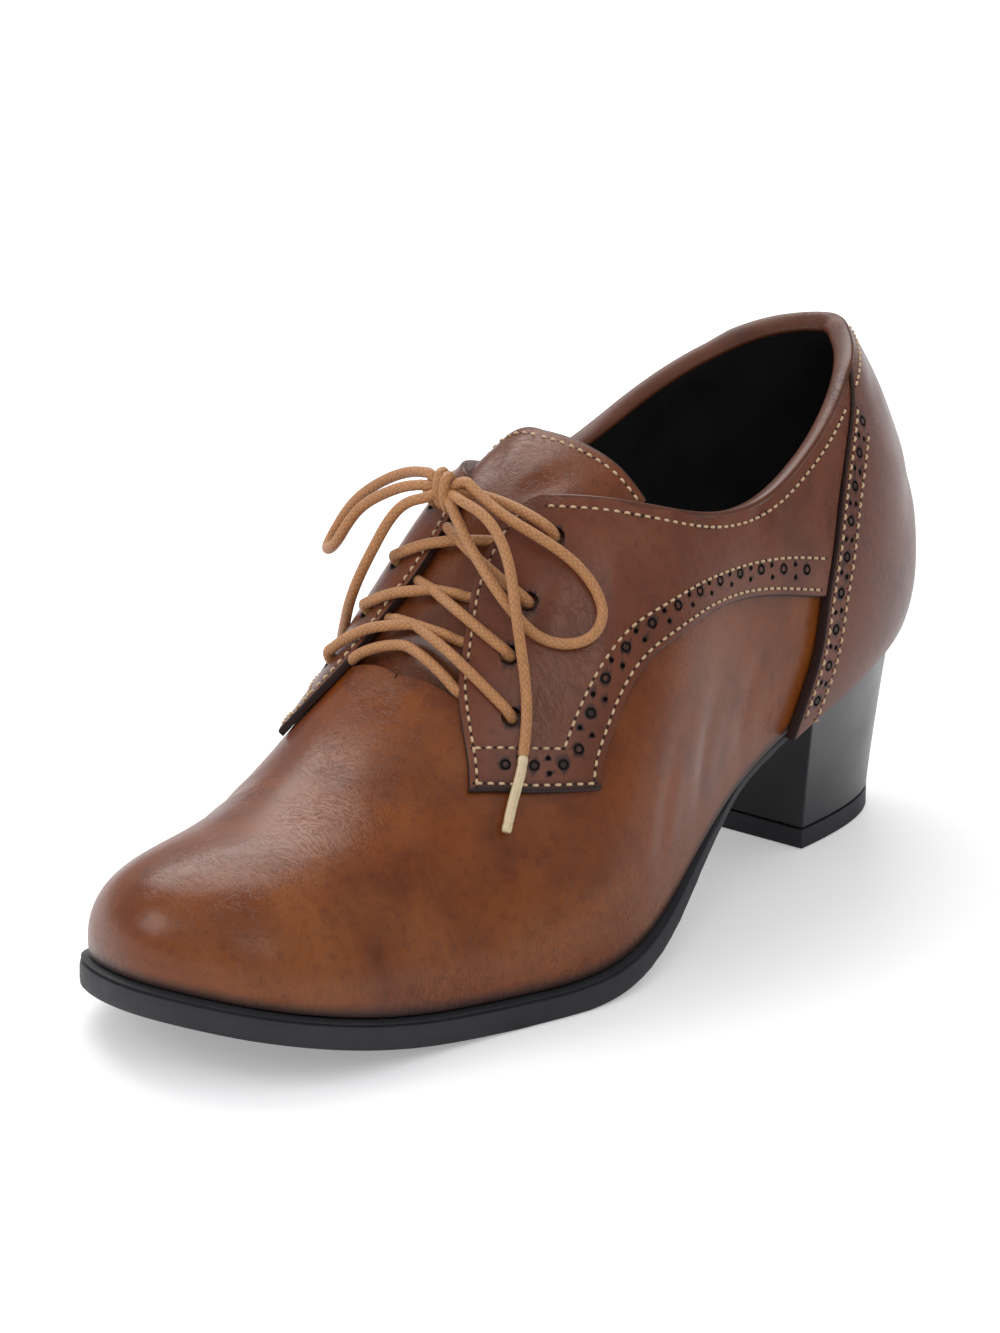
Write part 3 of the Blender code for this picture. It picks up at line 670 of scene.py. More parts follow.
# Finishing sizes in metres.
CUT_ROUND = 0.0006
LINING_TOP = -0.0011
VAMP_BACK = -0.0009
BINDING_HALF = 0.0010
STITCH_PITCH = 0.0023
STITCH_HALF = 0.00072
THREAD = 0.00031
NEEDLE_HOLE = 0.00034
EDGE_ROW = 0.0016
BAND_HOLES = 0.0058
BIG_HOLE = 0.0012
RING_CORE = 0.55
RING_DEEP = 0.0006
SMALL_HOLE = 0.00055
HOLE_STEP = 0.0082
FIRST_HOLE = 0.004
HOLE_DEEP = 0.0011
COUNTER_ROWS = (0.0014, 0.0062)
COUNTER_HOLES = 0.0037
COUNTER_SPAN = (0.02, 0.80, 60)
TOPLINE_ROW = 0.0026
TOPLINE_FROM = 0.496
TOPLINE_POINTS = 124
BEHIND_EDGE = 0.004
AHEAD_OF_EDGE = 0.006
TONGUE_ROW = 0.008
TONGUE_POINTS = 60

# Small shapes: shares of a stitch's half length and thickness, and of a needle hole's radius and its height.
STITCH_SIDES = 6
STITCH_RINGS = ((-1.0, 0.30), (-0.86, 0.72), (-0.45, 1.0), (0.0, 1.0), (0.45, 1.0), (0.86, 0.72), (1.0, 0.30))
PIT_SIDES = 8
PIT_MIDDLE = 0.00003
PIT_RINGS = ((0.55, 0.00004), (1.0, 0.00001), (1.25, -0.00008))
PUNCH_SIDES = 18
RING_HIGH = 0.004
PUNCH_PAST = 0.003
PAIR_OUT = 0.42
NEAR = 0.0004
SHARP = radians(40)
CLOSED = 0.9999
RANGE_SOCKETS = ("From Min", "From Max", "To Min", "To Max")

# Counts and sizes of the panels' grids, and where their cut edges darken.
CREASE_POINTS = 24
VAMP_ROWS = ((0, 0.43, 70), (0.433, 0.645, 56), (0.65, 1, 66))
VAMP_CLIMB = ((0, 0.9, 52), (0.915, 1, 7))
FEATHER_DARK = 0.0035
QUARTER_COUNTS = (46, 22, 84)
QUARTER_CLIMB = 34
WING_DARK = 0.0007
FOOT_DARK = 0.0014
STRIP_POINTS = 50
WING_POINTS = 70
COUNTER_REACH = 0.36
COUNTER_SPOTS = 145
COUNTER_CLIMB = 44
COUNTER_ACROSS = 100
COUNTER_ROUNDS = 25
COUNTER_NEAR = (0.0, 0.0016, 0.0045, 0.0090, 0.0160)
COUNTER_DARK = (0.0009, 0.0008)
TONGUE_ACROSS = 61
TONGUE_NEAR = (0, 0.004, 0.010, 0.020)
TONGUE_CLIMB = (0.035, 1, 60)
TONGUE_LOWEST = 0.80
TONGUE_DROP = 0.0020
TONGUE_DROP_FROM = 0.596
TONGUE_DARK = 0.0009
COLLAR_RINGS = 300
COLLAR_SOFT = 9
COLLAR_PAST = 0.004
COLLAR_FADE = 0.012
COLLAR_SIDES = 20
COLLAR_OVER = 0.00012
COLLAR_SQUARE = 0.8

# The edge of the sole from its top to its floor.
SOLE_PROFILE = (
    # out from the rim, share of the thickness, drop
    (-0.0060, 0.00, 0.0),
    (-0.0030, 0.00, 0.0),
    (-0.0008, 0.00, 0.0),
    (-0.0003, 0.00, 0.00018),
    (-0.0009, 0.00, 0.00050),
    (-0.0009, 0.00, 0.00085),
    (-0.0002, 0.00, 0.00120),
    (0.0, 0.25, 0.00080),
    (0.0, 0.50, 0.0),
    (0.0, 0.75, 0.0),
    (-0.0001, 0.93, 0.0),
    (-0.0005, 1.00, 0.0),
    (-0.0020, 1.00, 0.0),
)
SOLE_ROUND = ((0, 0.94, 190), (0.943, 1, 30))
SOLE_THICK = 0.004
SOLE_ROUGH = 0.00012
SOLE_ACROSS = 12
HEEL_POINTS = 97
HEEL_SECTIONS = 40
HEEL_LIFTED = 0.00035
HEEL_BEVEL = 0.00045
LIFT_BEVEL = 0.0003
LACE_STEP = 0.0006
LACE_SIDES = 14
BRAID_STRANDS = 6
BRAID_STEP = 0.0015
FAR_TUCK = 0.022
HOLE_LIFTS = (-0.0006, 0.0016)
TIE_LIFT = 0.0030
KNOT_TURNS = 1.7
KNOT_POINTS = 26
TUCK = 0.0012
AGLET_STEP = 0.00035
AGLET_SIDES = 18
AGLET_HALF = 0.00112
CRIMP_FROM_END = 0.0022
CRIMP_DEEP = 0.00009
CRIMP_WIDE = 0.0004

# Main creases of the leather: soft troughs, with a ridge beside each where the leather is pushed up.
VAMP_CREASES = (
    # side, around, up, around_end, up_end, depth, width
    (1, 0.655, 0.16, 0.690, 0.52, 0.00034, 0.0021),
    (1, 0.676, 0.30, 0.722, 0.86, 0.00030, 0.0024),
    (1, 0.704, 0.12, 0.742, 0.44, 0.00022, 0.0020),
    (1, 0.635, 0.08, 0.652, 0.30, 0.00024, 0.0018),
    (1, 0.600, 0.06, 0.618, 0.24, 0.00022, 0.0018),
    (1, 0.560, 0.10, 0.585, 0.30, 0.00026, 0.0022),
    (1, 0.500, 0.06, 0.470, 0.26, 0.00030, 0.0026),
    (1, 0.440, 0.05, 0.405, 0.24, 0.00030, 0.0026),
    (1, 0.375, 0.06, 0.345, 0.22, 0.00026, 0.0024),
    (-1, 0.660, 0.20, 0.705, 0.66, 0.00032, 0.0023),
    (-1, 0.690, 0.16, 0.736, 0.56, 0.00026, 0.0021),
    (-1, 0.630, 0.10, 0.655, 0.36, 0.00024, 0.0020),
    (-1, 0.480, 0.06, 0.450, 0.28, 0.00028, 0.0025),
    (-1, 0.400, 0.06, 0.370, 0.24, 0.00026, 0.0024),
)
QUARTER_CREASES = (
    # side, around, up, around_end, up_end, depth, width
    (1, 0.545, 0.56, 0.500, 0.68, 0.00030, 0.0028),
    (1, 0.470, 0.56, 0.440, 0.70, 0.00032, 0.0030),
    (1, 0.400, 0.48, 0.375, 0.64, 0.00030, 0.0030),
    (1, 0.340, 0.42, 0.300, 0.60, 0.00028, 0.0028),
    (1, 0.560, 0.70, 0.520, 0.74, 0.00022, 0.0022),
    (-1, 0.540, 0.56, 0.495, 0.68, 0.00030, 0.0028),
    (-1, 0.460, 0.54, 0.425, 0.68, 0.00032, 0.0030),
    (-1, 0.380, 0.46, 0.345, 0.62, 0.00030, 0.0030),
)
COUNTER_CREASES = (
    # side, around, up, around_end, up_end, depth, width
    (1, 0.150, 0.30, 0.050, 0.34, 0.00024, 0.0032),
    (-1, 0.150, 0.30, 0.050, 0.34, 0.00024, 0.0032),
    (1, 0.140, 0.56, 0.040, 0.60, 0.00022, 0.0028),
    (-1, 0.140, 0.56, 0.040, 0.60, 0.00022, 0.0028),
)
TONGUE_DENTS = (
    # side, around, up, around_end, up_end, depth, width
    (1, 0.460, 0.86, 0.500, 0.96, 0.00050, 0.0034),
    (-1, 0.455, 0.88, 0.490, 0.97, 0.00045, 0.0034),
    (1, 0.520, 0.93, 0.560, 0.97, 0.00035, 0.0028),
)


def unit(rows):
    """Rows of vectors brought to length 1."""
    return rows / np.maximum(np.linalg.norm(rows, axis=-1), 1e-12)[..., None]


def soft_step(value):
    """0 below 0 and 1 above 1, with a smooth rise between them."""
    value = np.clip(value, 0, 1)
    return value * value * (3 - 2 * value)


def edge_shares(count, near=(0.0, 0.0022, 0.0060, 0.0120, 0.0220)):
    """Shares from 0 to 1, closer together towards both ends, for a rounded cut edge."""
    near = np.array(near)
    middle = np.linspace(near[-1], 1 - near[-1], count)[1:-1]
    return np.concatenate([near, middle, 1 - near[::-1]])


def crease_lift(points, creases):
    """How far creases push each point of a grid in or out."""
    lift = np.zeros(points.shape[:-1])
    for side, around, up, around_end, up_end, depth, width in creases:
        share = np.linspace(0, 1, CREASE_POINTS)
        bow = 0.012 * np.sin(pi * share)
        line = skin(
            side * (around + (around_end - around) * share + bow),
            up + (up_end - up) * share,
            0 * share,
        )
        gap = np.full(points.shape[:-1], 1.0)
        fade = np.zeros(points.shape[:-1])
        for s, p in zip(share, line):
            near = np.linalg.norm(points - p, axis=-1)
            fade = np.where(near < gap, sin(pi * min(max(s, 0.03), 0.97)) ** 0.7, fade)
            gap = np.minimum(gap, near)
        trough = np.exp(-((gap / width) ** 2))
        bank = np.exp(-(((gap - 2.0 * width) / (1.1 * width)) ** 2))
        lift += fade * depth * (0.45 * bank - trough)
    return lift


def cut_drop(distance, radius):
    """How far a rounded edge falls below its face, at a distance in from the cut."""
    inner = radius - np.minimum(distance, radius)
    return radius - np.sqrt(np.maximum(radius**2 - inner**2, 0))


def added(name, data):
    """A new object in the scene."""
    made = bpy.data.objects.new(name, data)
    bpy.context.scene.collection.objects.link(made)
    return made


def apply_modifier(made, modifier):
    """Work a modifier into the mesh."""
    bpy.context.view_layer.objects.active = made
    bpy.ops.object.modifier_apply(modifier=modifier.name)


def mesh_piece(name, points, faces, materials, masks=None, uvs=None):
    """A smooth mesh object from its points and faces, with masks for its material."""
    mesh = bpy.data.meshes.new(name)
    mesh.from_pydata([tuple(p) for p in points], [], [tuple(int(i) for i in f) for f in faces])
    for material in materials:
        mesh.materials.append(material)
    if masks is not None:
        layer = mesh.attributes.new("masks", "FLOAT_COLOR", "POINT")
        layer.data.foreach_set("color", np.column_stack([masks, np.ones(len(masks))]).ravel())
    if uvs is not None:
        layer = mesh.uv_layers.new(name="lay")
        layer.data.foreach_set("uv", np.asarray(uvs, float).ravel())
    for face in mesh.polygons:
        face.use_smooth = True
    mesh.set_sharp_from_angle(angle=SHARP)
    mesh.validate()
    mesh.update()
    return added(name, mesh)


def ring_faces(count, sides):
    """The faces of a closed tube of rings, with a cap on each end."""
    faces = [tuple(range(sides)), tuple(count * sides - 1 - k for k in range(sides))]
    for i in range(count - 1):
        for k in range(sides):
            j = (k + 1) % sides
            faces.append((i * sides + k, (i + 1) * sides + k, (i + 1) * sides + j, i * sides + j))
    return faces


def tube_points(line, across, rise, thick, sides):
    """The points of the rings round a line."""
    turn = np.linspace(0, 2 * pi, sides, endpoint=False)
    ring = across[:, None] * np.cos(turn)[None, :, None] + rise[:, None] * np.sin(turn)[None, :, None]
    return (line[:, None] + thick[:, None, None] * ring).reshape(-1, 3)


def turn_outwards(made):
    """Turn the faces of a closed mesh outwards."""
    build = bmesh.new()
    build.from_mesh(made.data)
    bmesh.ops.remove_doubles(build, verts=build.verts, dist=1e-6)
    bmesh.ops.dissolve_degenerate(build, edges=build.edges, dist=1e-7)
    bmesh.ops.recalc_face_normals(build, faces=build.faces)
    if build.calc_volume(signed=True) < 0:
        bmesh.ops.reverse_faces(build, faces=build.faces)
    build.to_mesh(made.data)
    build.free()


def carry(made, slot=None, *nodes):
    """Let a piece ride on the shoe's one body, and stand for its CAD nodes."""
    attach(made, BODY)
    if nodes:
        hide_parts(*nodes)


def shell(name, materials, front, back, masks=None, ring=False, open_top=None):
    """A closed shell between two grids. A ring closes on itself; open_top says where it has a rim."""
    n, m = front.shape[:2]
    points = np.concatenate([front.reshape(-1, 3), back.reshape(-1, 3)])
    outer, inner = np.arange(2 * n * m).reshape(2, n, m)
    faces = []
    for i in range(n if ring else n - 1):
        j = (i + 1) % n
        for k in range(m - 1):
            faces.append((outer[i, k], outer[j, k], outer[j, k + 1], outer[i, k + 1]))
            faces.append((inner[i, k + 1], inner[j, k + 1], inner[j, k], inner[i, k]))
        faces.append((outer[j, 0], outer[i, 0], inner[i, 0], inner[j, 0]))
        if open_top is None or open_top[i] or open_top[j]:
            faces.append((outer[i, -1], outer[j, -1], inner[j, -1], inner[i, -1]))
    if not ring:
        for k in range(m - 1):
            faces.append((outer[0, k], outer[0, k + 1], inner[0, k + 1], inner[0, k]))
            faces.append((outer[-1, k + 1], outer[-1, k], inner[-1, k], inner[-1, k + 1]))
    if masks is not None:
        masks = np.concatenate([masks.reshape(-1, 3), masks.reshape(-1, 3)])
    made = mesh_piece(name, points, faces, materials, masks=masks)
    turn_outwards(made)
    return made


def side_distance(grid, axis, end):
    """The distance of each grid point from one side of the grid, measured along its lines."""
    lines = grid if axis == 0 else grid.transpose(1, 0, 2)
    if end:
        lines = lines[::-1]
    gaps = np.linalg.norm(np.diff(lines, axis=0), axis=-1)
    run = np.concatenate([np.zeros((1, gaps.shape[1])), np.cumsum(gaps, axis=0)])
    if end:
        run = run[::-1]
    return run if axis == 0 else run.T


def moved(side, path, distance, toward):
    """A row of places on the last, moved across itself over the surface, to one side of it."""
    path = np.array(path, float)
    steps = 6
    step = 0.002
    for _ in range(steps):
        around, up = path.T
        point = last(side * around, up)
        along = unit(np.gradient(point, axis=0))
        across = unit(np.cross(last_normal(side * around, up), along))
        by_around = (last(side * (around + step), up) - last(side * (around - step), up)) / (2 * step)
        by_up = (last(side * around, up + step) - last(side * around, up - step)) / (2 * step)
        wanted = toward[0] * by_around + toward[1] * by_up
        across = across * np.sign(np.sum(across * wanted))
        go = across * distance / steps
        for i in range(len(path)):
            pair = np.stack([by_around[i], by_up[i]], 1)
            path[i] += np.linalg.lstsq(pair, go[i], rcond=None)[0]
    return path


def path_run(side, path):
    """The lengths along a row of places on the last."""
    return run_length(last(side * path[:, 0], path[:, 1]))


def trimmed(side, path, start, end):
    """A row of places without a stretch at each end, in metres."""
    run = path_run(side, path)
    want = np.linspace(start, run[-1] - end, len(path))
    return row_at(want, run, path)


def frames_along(side, path, lift, wanted):
    """Points, forward, sideways and outward directions at given lengths along a row of places."""
    places = skin(side * path[:, 0], path[:, 1], 0 * path[:, 0] + lift)
    run = run_length(places)
    point = row_at(wanted, run, places)
    ahead = row_at(np.minimum(wanted + NEAR, run[-1]), run, places)
    behind = row_at(np.maximum(wanted - NEAR, 0), run, places)
    forward = unit(ahead - behind)
    around, up = row_at(wanted, run, path).T
    out = last_normal(side * around, up)
    sideways = unit(np.cross(out, forward))
    return point, forward, sideways, out


def stitch_shape():
    """One stitch of round thread with its ends pulled into the leather, about its middle."""
    turn = np.linspace(0, 2 * pi, STITCH_SIDES, endpoint=False)
    points = []
    for x, share in STITCH_RINGS:
        rise = THREAD * (0.55 - 1.35 * x**4)
        for t in turn:
            points.append((x * STITCH_HALF, share * THREAD * cos(t), rise + share * THREAD * sin(t)))
    return np.array(points), ring_faces(len(STITCH_RINGS), STITCH_SIDES)


def pit_shape():
    """A needle hole: a small dimple with a soft lip."""
    sides = PIT_SIDES
    points = [(0, 0, PIT_MIDDLE)]
    for radius, height in PIT_RINGS:
        for t in np.linspace(0, 2 * pi, sides, endpoint=False):
            points.append((radius * NEEDLE_HOLE * cos(t), radius * NEEDLE_HOLE * sin(t), height))
    faces = [(0, 1 + k, 1 + (k + 1) % sides) for k in range(sides)]
    for low in range(1, 1 + sides * (len(PIT_RINGS) - 1), sides):
        for k in range(sides):
            j = (k + 1) % sides
            faces.append((low + k, low + sides + k, low + sides + j, low + j))
    return np.array(points), faces


def spread_shape(shape, frames):
    """Copies of a small shape at every frame, as one list of points and faces."""
    points, faces = shape
    all_points = []
    all_faces = []
    for point, forward, sideways, out in zip(*frames):
        base = len(all_points) * len(points)
        all_points.append(point + points[:, :1] * forward + points[:, 1:2] * sideways + points[:, 2:] * out)
        all_faces += [tuple(base + i for i in face) for face in faces]
    return np.concatenate(all_points), all_faces


def merged(parts):
    """Several lists of points and faces as one."""
    points = np.concatenate([p for p, _ in parts])
    faces = []
    base = 0
    for p, f in parts:
        faces += [tuple(base + i for i in face) for face in f]
        base += len(p)
    return points, faces


class Graph:
    """Short ways to add and link shader nodes."""

    def __init__(self, tree):
        self.tree = tree

    def add(self, kind, **values):
        node = self.tree.nodes.new(kind)
        for name, value in values.items():
            setattr(node, name, value)
        return node

    def link(self, source, target):
        if isinstance(source, bpy.types.NodeSocket):
            self.tree.links.new(source, target)
        else:
            target.default_value = source

    def math(self, operation, first, second=0.0):
        node = self.add("ShaderNodeMath", operation=operation)
        self.link(first, node.inputs[0])
        self.link(second, node.inputs[1])
        return node.outputs[0]

    def noise(self, vector, scale, detail=3.0, roughness=0.5, distortion=0.0):
        node = self.add("ShaderNodeTexNoise")
        self.link(vector, node.inputs["Vector"])
        self.link(scale, node.inputs["Scale"])
        node.inputs["Detail"].default_value = detail
        node.inputs["Roughness"].default_value = roughness
        node.inputs["Distortion"].default_value = distortion
        return node.outputs["Fac"]

    def cells(self, vector, scale):
        node = self.add("ShaderNodeTexVoronoi", feature="DISTANCE_TO_EDGE")
        self.link(vector, node.inputs["Vector"])
        self.link(scale, node.inputs["Scale"])
        return node.outputs["Distance"]

    def stretch(self, vector, scale, turn=(0, 0, 0)):
        node = self.add("ShaderNodeMapping")
        self.link(vector, node.inputs["Vector"])
        node.inputs["Scale"].default_value = scale
        node.inputs["Rotation"].default_value = turn
        return node.outputs["Vector"]

    def spread(self, value, low, high, to_low=0.0, to_high=1.0):
        node = self.add("ShaderNodeMapRange")
        node.clamp = True
        self.link(value, node.inputs["Value"])
        for name, number in zip(RANGE_SOCKETS, (low, high, to_low, to_high)):
            self.link(number, node.inputs[name])
        return node.outputs["Result"]

    def mix(self, share, first, second):
        node = self.add("ShaderNodeMix", data_type="RGBA")
        self.link(share, node.inputs["Factor"])
        self.link(first, node.inputs["A"])
        self.link(second, node.inputs["B"])
        return node.outputs["Result"]


def made_once(store, name):
    """Let a function build its group or material the first time, and give the same one after that."""

    def wrap(build):
        def give(*values):
            kept = getattr(bpy.data, store)
            return kept[name] if name in kept else build(name, *values)

        return give

    return wrap


def group(name, inputs, outputs):
    """A new shader group: a vector and the named values go in, the named colour and values come out."""
    tree = bpy.data.node_groups.new(name, "ShaderNodeTree")
    tree.interface.new_socket("Vector", in_out="INPUT", socket_type="NodeSocketVector")
    for label, value in inputs.items():
        kind = "NodeSocketColor" if isinstance(value, tuple) else "NodeSocketFloat"
        tree.interface.new_socket(label, in_out="INPUT", socket_type=kind).default_value = value
    for label in outputs:
        kind = "NodeSocketColor" if label == "Colour" else "NodeSocketFloat"
        tree.interface.new_socket(label, in_out="OUTPUT", socket_type=kind)
    graph = Graph(tree)
    return graph, graph.add("NodeGroupInput").outputs, graph.add("NodeGroupOutput").inputs


@made_once("node_groups", "leather_grain")
def grain_group(name):
    """Fine leather grain: small soft cells with pores between, over broad unevenness."""
    graph, source, target = group(name, {"Cells": 1500.0, "Pores": 0.5}, ("Height",))
    vector = source["Vector"]
    cells = graph.cells(vector, source["Cells"])
    soft = graph.spread(cells, 0.0, 0.30)
    fine = graph.noise(vector, 2600.0, 2.0)
    pores = graph.spread(graph.noise(vector, 900.0, 2.0), 0.60, 0.72, 0.0, 1.0)
    height = graph.math("ADD", graph.math("MULTIPLY", soft, 0.6), graph.math("MULTIPLY", fine, 0.5))
    dips = graph.math("MULTIPLY", pores, source["Pores"])
    graph.link(graph.math("SUBTRACT", height, dips), target["Height"])
    return graph.tree


@made_once("node_groups", "leather_wrinkles")
def wrinkle_group(name):
    """Short fine wrinkles that lie together in one direction."""
    graph, source, target = group(name, {"Lines": 90.0}, ("Height", "Mask"))
    vector = source["Vector"]
    warp = graph.add("ShaderNodeVectorMath", operation="MULTIPLY_ADD")
    drift = graph.add("ShaderNodeTexNoise")
    graph.link(vector, drift.inputs["Vector"])
    drift.inputs["Scale"].default_value = 60.0
    graph.link(drift.outputs["Color"], warp.inputs[0])
    warp.inputs[1].default_value = (0.012, 0.012, 0.012)
    graph.link(vector, warp.inputs[2])
    lying = graph.stretch(warp.outputs[0], (1.0, 4.2, 1.0), (radians(38), radians(12), radians(24)))
    lines = graph.noise(lying, source["Lines"], 3.0, 0.55)
    ridged = graph.math("ABSOLUTE", graph.math("SUBTRACT", lines, 0.5))
    troughs = graph.spread(ridged, 0.0, 0.045)
    patches = graph.spread(graph.noise(vector, 34.0, 2.0), 0.40, 0.62)
    mask = graph.math("MULTIPLY", graph.math("SUBTRACT", 1.0, troughs), patches)
    graph.link(graph.math("SUBTRACT", 1.0, mask), target["Height"])
    graph.link(mask, target["Mask"])
    return graph.tree


@made_once("node_groups", "leather_mottle")
def mottle_group(name):
    """Hand-rubbed colour: clouds of the deep and the pale tone over the main one."""
    tones = {
        "Colour": (0.2, 0.08, 0.04, 1),
        "Deep": (0.08, 0.02, 0.01, 1),
        "Pale": (0.3, 0.14, 0.08, 1),
        "Clouds": 55.0,
    }
    graph, source, target = group(name, tones, ("Colour", "Mask"))
    vector = source["Vector"]
    broad = graph.noise(vector, source["Clouds"], 4.0, 0.6, 0.6)
    small = graph.noise(vector, 420.0, 3.0, 0.6)
    deep = graph.spread(broad, 0.44, 0.72, 0.0, 0.70)
    pale = graph.spread(graph.noise(vector, 26.0, 3.0, 0.55, 0.4), 0.52, 0.72, 0.0, 0.60)
    speck = graph.spread(small, 0.52, 0.70, 0.0, 0.34)
    colour = graph.mix(deep, source["Colour"], source["Deep"])
    colour = graph.mix(pale, colour, source["Pale"])
    colour = graph.mix(speck, colour, source["Deep"])
    graph.link(colour, target["Colour"])
    graph.link(deep, target["Mask"])
    return graph.tree


@made_once("node_groups", "uneven_polish")
def worn_group(name):
    """Uneven polish: roughness between two values, with short scuffs."""
    graph, source, target = group(name, {"Smooth": 0.3, "Dull": 0.5}, ("Roughness", "Scuffs"))
    vector = source["Vector"]
    clouds = graph.noise(vector, 48.0, 4.0, 0.6)
    lying = graph.stretch(vector, (1.0, 6.0, 2.0), (radians(20), radians(50), radians(-30)))
    scuffs = graph.spread(graph.noise(lying, 160.0, 3.0, 0.7), 0.66, 0.76, 0.0, 1.0)
    rough = graph.spread(clouds, 0.35, 0.65, source["Smooth"], source["Dull"])
    graph.link(graph.math("ADD", rough, graph.math("MULTIPLY", scuffs, 0.08)), target["Roughness"])
    graph.link(scuffs, target["Scuffs"])
    return graph.tree


def start_material(name):
    """A new node material with its graph, its surface shader and the shoe's own coordinates."""
    material = bpy.data.materials.new(name)
    material.use_nodes = True
    graph = Graph(material.node_tree)
    shader = material.node_tree.nodes["Principled BSDF"]
    place = graph.add("ShaderNodeTexCoord").outputs["Object"]
    return material, graph, shader, place


def use(graph, tree, vector, **values):
    """A group placed in a material with its own values."""
    node = graph.add("ShaderNodeGroup")
    node.node_tree = tree
    graph.link(vector, node.inputs["Vector"])
    for name, value in values.items():
        graph.link(value, node.inputs[name])
    return node.outputs


def shade(value, share=1.0):
    """A colour for a socket, made darker or paler by a share."""
    return (value[0] * share, value[1] * share, value[2] * share, 1.0)


def tinted(graph, shader, cloud, low, high, smooth_end, dull_end):
    """Colour and roughness that wander together, each between two values."""
    graph.link(graph.mix(cloud, low, high), shader.inputs["Base Color"])
    graph.link(graph.spread(cloud, 0.3, 0.7, smooth_end, dull_end), shader.inputs["Roughness"])


def set_values(shader, **values):
    """Constants on the surface shader, named by socket with _ for each blank."""
    for name, value in values.items():
        shader.inputs[name.replace("_", " ")].default_value = value


def bumped(graph, shader, layers):
    """Bump layers one over the other: each is a height, how deep it is in metres, and its strength."""
    normal = None
    for height, depth, strength in layers:
        bump = graph.add("ShaderNodeBump")
        bump.inputs["Distance"].default_value = depth
        bump.inputs["Strength"].default_value = strength
        graph.link(height, bump.inputs["Height"])
        if normal is not None:
            graph.link(normal, bump.inputs["Normal"])
        normal = bump.outputs["Normal"]
    graph.link(normal, shader.inputs["Normal"])


def leather(name, tone, finish):
    """Burnished smooth leather with fine wrinkles and a dark cut edge."""
    if name in bpy.data.materials:
        return bpy.data.materials[name]
    material, graph, shader, place = start_material(name)
    masks = graph.add("ShaderNodeAttribute", attribute_name="masks").outputs["Color"]
    parts = graph.add("ShaderNodeSeparateColor")
    graph.link(masks, parts.inputs["Color"])
    # The masks: dark is the stained cut edge, bend sets how strongly the wrinkle troughs are painted with
    # shade, toe is a darker tone over the toe.
    dark, bend, toe = parts.outputs
    mottle = use(
        graph, mottle_group(), place,
        Colour=shade(tone.colour), Deep=shade(tone.deep), Pale=shade(tone.pale), Clouds=tone.clouds,
    )
    wrinkles = use(graph, wrinkle_group(), place, Lines=tone.lines)
    grain = use(graph, grain_group(), place, Cells=1700.0, Pores=0.35)
    polish = use(graph, worn_group(), place, Smooth=tone.smooth, Dull=tone.dull)
    # Painted shade: the troughs of the fine wrinkles are darkened towards the deep tone.
    wrinkle_shade = graph.math("MULTIPLY", wrinkles["Mask"], graph.spread(bend, 0.0, 1.0, 0.08, 0.30))
    colour = graph.mix(wrinkle_shade, mottle["Colour"], shade(tone.deep, 0.75))
    colour = graph.mix(graph.math("MULTIPLY", toe, 0.22), colour, shade(tone.deep))
    colour = graph.mix(graph.math("MULTIPLY", polish["Scuffs"], 0.25), colour, shade(tone.pale))
    colour = graph.mix(dark, colour, shade(finish.cut_edge))
    graph.link(colour, shader.inputs["Base Color"])
    rough = graph.math("ADD", polish["Roughness"], graph.math("MULTIPLY", dark, 0.18))
    graph.link(rough, shader.inputs["Roughness"])
    set_values(shader, Specular_IOR_Level=0.34, Coat_Weight=0.22, Coat_Roughness=0.20, Coat_IOR=1.45)
    set_values(shader, Sheen_Weight=0.02, Sheen_Roughness=0.35, Sheen_Tint=(1.0, 0.84, 0.86, 1.0))
    broad = graph.noise(place, 70.0, 3.0, 0.5)
    bumped(graph, shader, [
        (broad, 0.00045, 0.40),
        (wrinkles["Height"], 0.00012, 0.55),
        (grain["Height"], 0.00004, 0.50),
    ])
    return material


@made_once("materials", "lining_cloth")
def lining_finish(name, finish):
    """Black lining with a soft textile grain."""
    material, graph, shader, place = start_material(name)
    clouds = graph.noise(place, 90.0, 3.0)
    weave = graph.noise(place, 2400.0, 2.0)
    tinted(graph, shader, clouds, shade(finish.lining, 0.7), shade(finish.lining, 1.5), 0.68, 0.86)
    bumped(graph, shader, [(weave, 0.00008, 0.6)])
    return material


@made_once("materials", "punched_hole")
def hole_finish(name):
    """The dark inside of a punched hole."""
    material, graph, shader, place = start_material(name)
    fuzz = graph.noise(place, 1800.0, 3.0)
    tinted(graph, shader, fuzz, (0.008, 0.004, 0.003, 1), (0.030, 0.014, 0.010, 1), 0.75, 0.95)
    bumped(graph, shader, [(fuzz, 0.0001, 0.5)])
    return material


@made_once("materials", "sewing_thread")
def thread_finish(name, finish):
    """Waxed sewing thread."""
    material, graph, shader, place = start_material(name)
    fleck = graph.noise(place, 1500.0, 2.0)
    tinted(graph, shader, fleck, shade(finish.thread, 0.62), shade(finish.thread, 1.15), 0.45, 0.65)
    twist = graph.noise(graph.stretch(place, (1, 1, 3), (0.5, 0.4, 0)), 3800.0, 1.0)
    bumped(graph, shader, [(twist, 0.0001, 0.7)])
    return material


@made_once("materials", "sole_rubber")
def rubber_finish(name, finish):
    """Matt charcoal rubber, lightly rubbed, with dust along its lower edge."""
    material, graph, shader, place = start_material(name)
    polish = use(graph, worn_group(), place, Smooth=0.44, Dull=0.62)
    clouds = graph.noise(place, 120.0, 4.0, 0.6)
    colour = graph.mix(clouds, shade(finish.rubber, 0.75), shade(finish.rubber, 1.3))
    colour = graph.mix(graph.math("MULTIPLY", polish["Scuffs"], 0.25), colour, shade(finish.rubber, 3.0))
    graph.link(colour, shader.inputs["Base Color"])
    graph.link(polish["Roughness"], shader.inputs["Roughness"])
    set_values(shader, Specular_IOR_Level=0.42)
    fine = graph.noise(place, 1500.0, 3.0, 0.6)
    lying = graph.noise(graph.stretch(place, (1, 1, 9)), 240.0, 3.0)
    bumped(graph, shader, [(lying, 0.00010, 0.5), (fine, 0.00006, 0.6)])
    return material


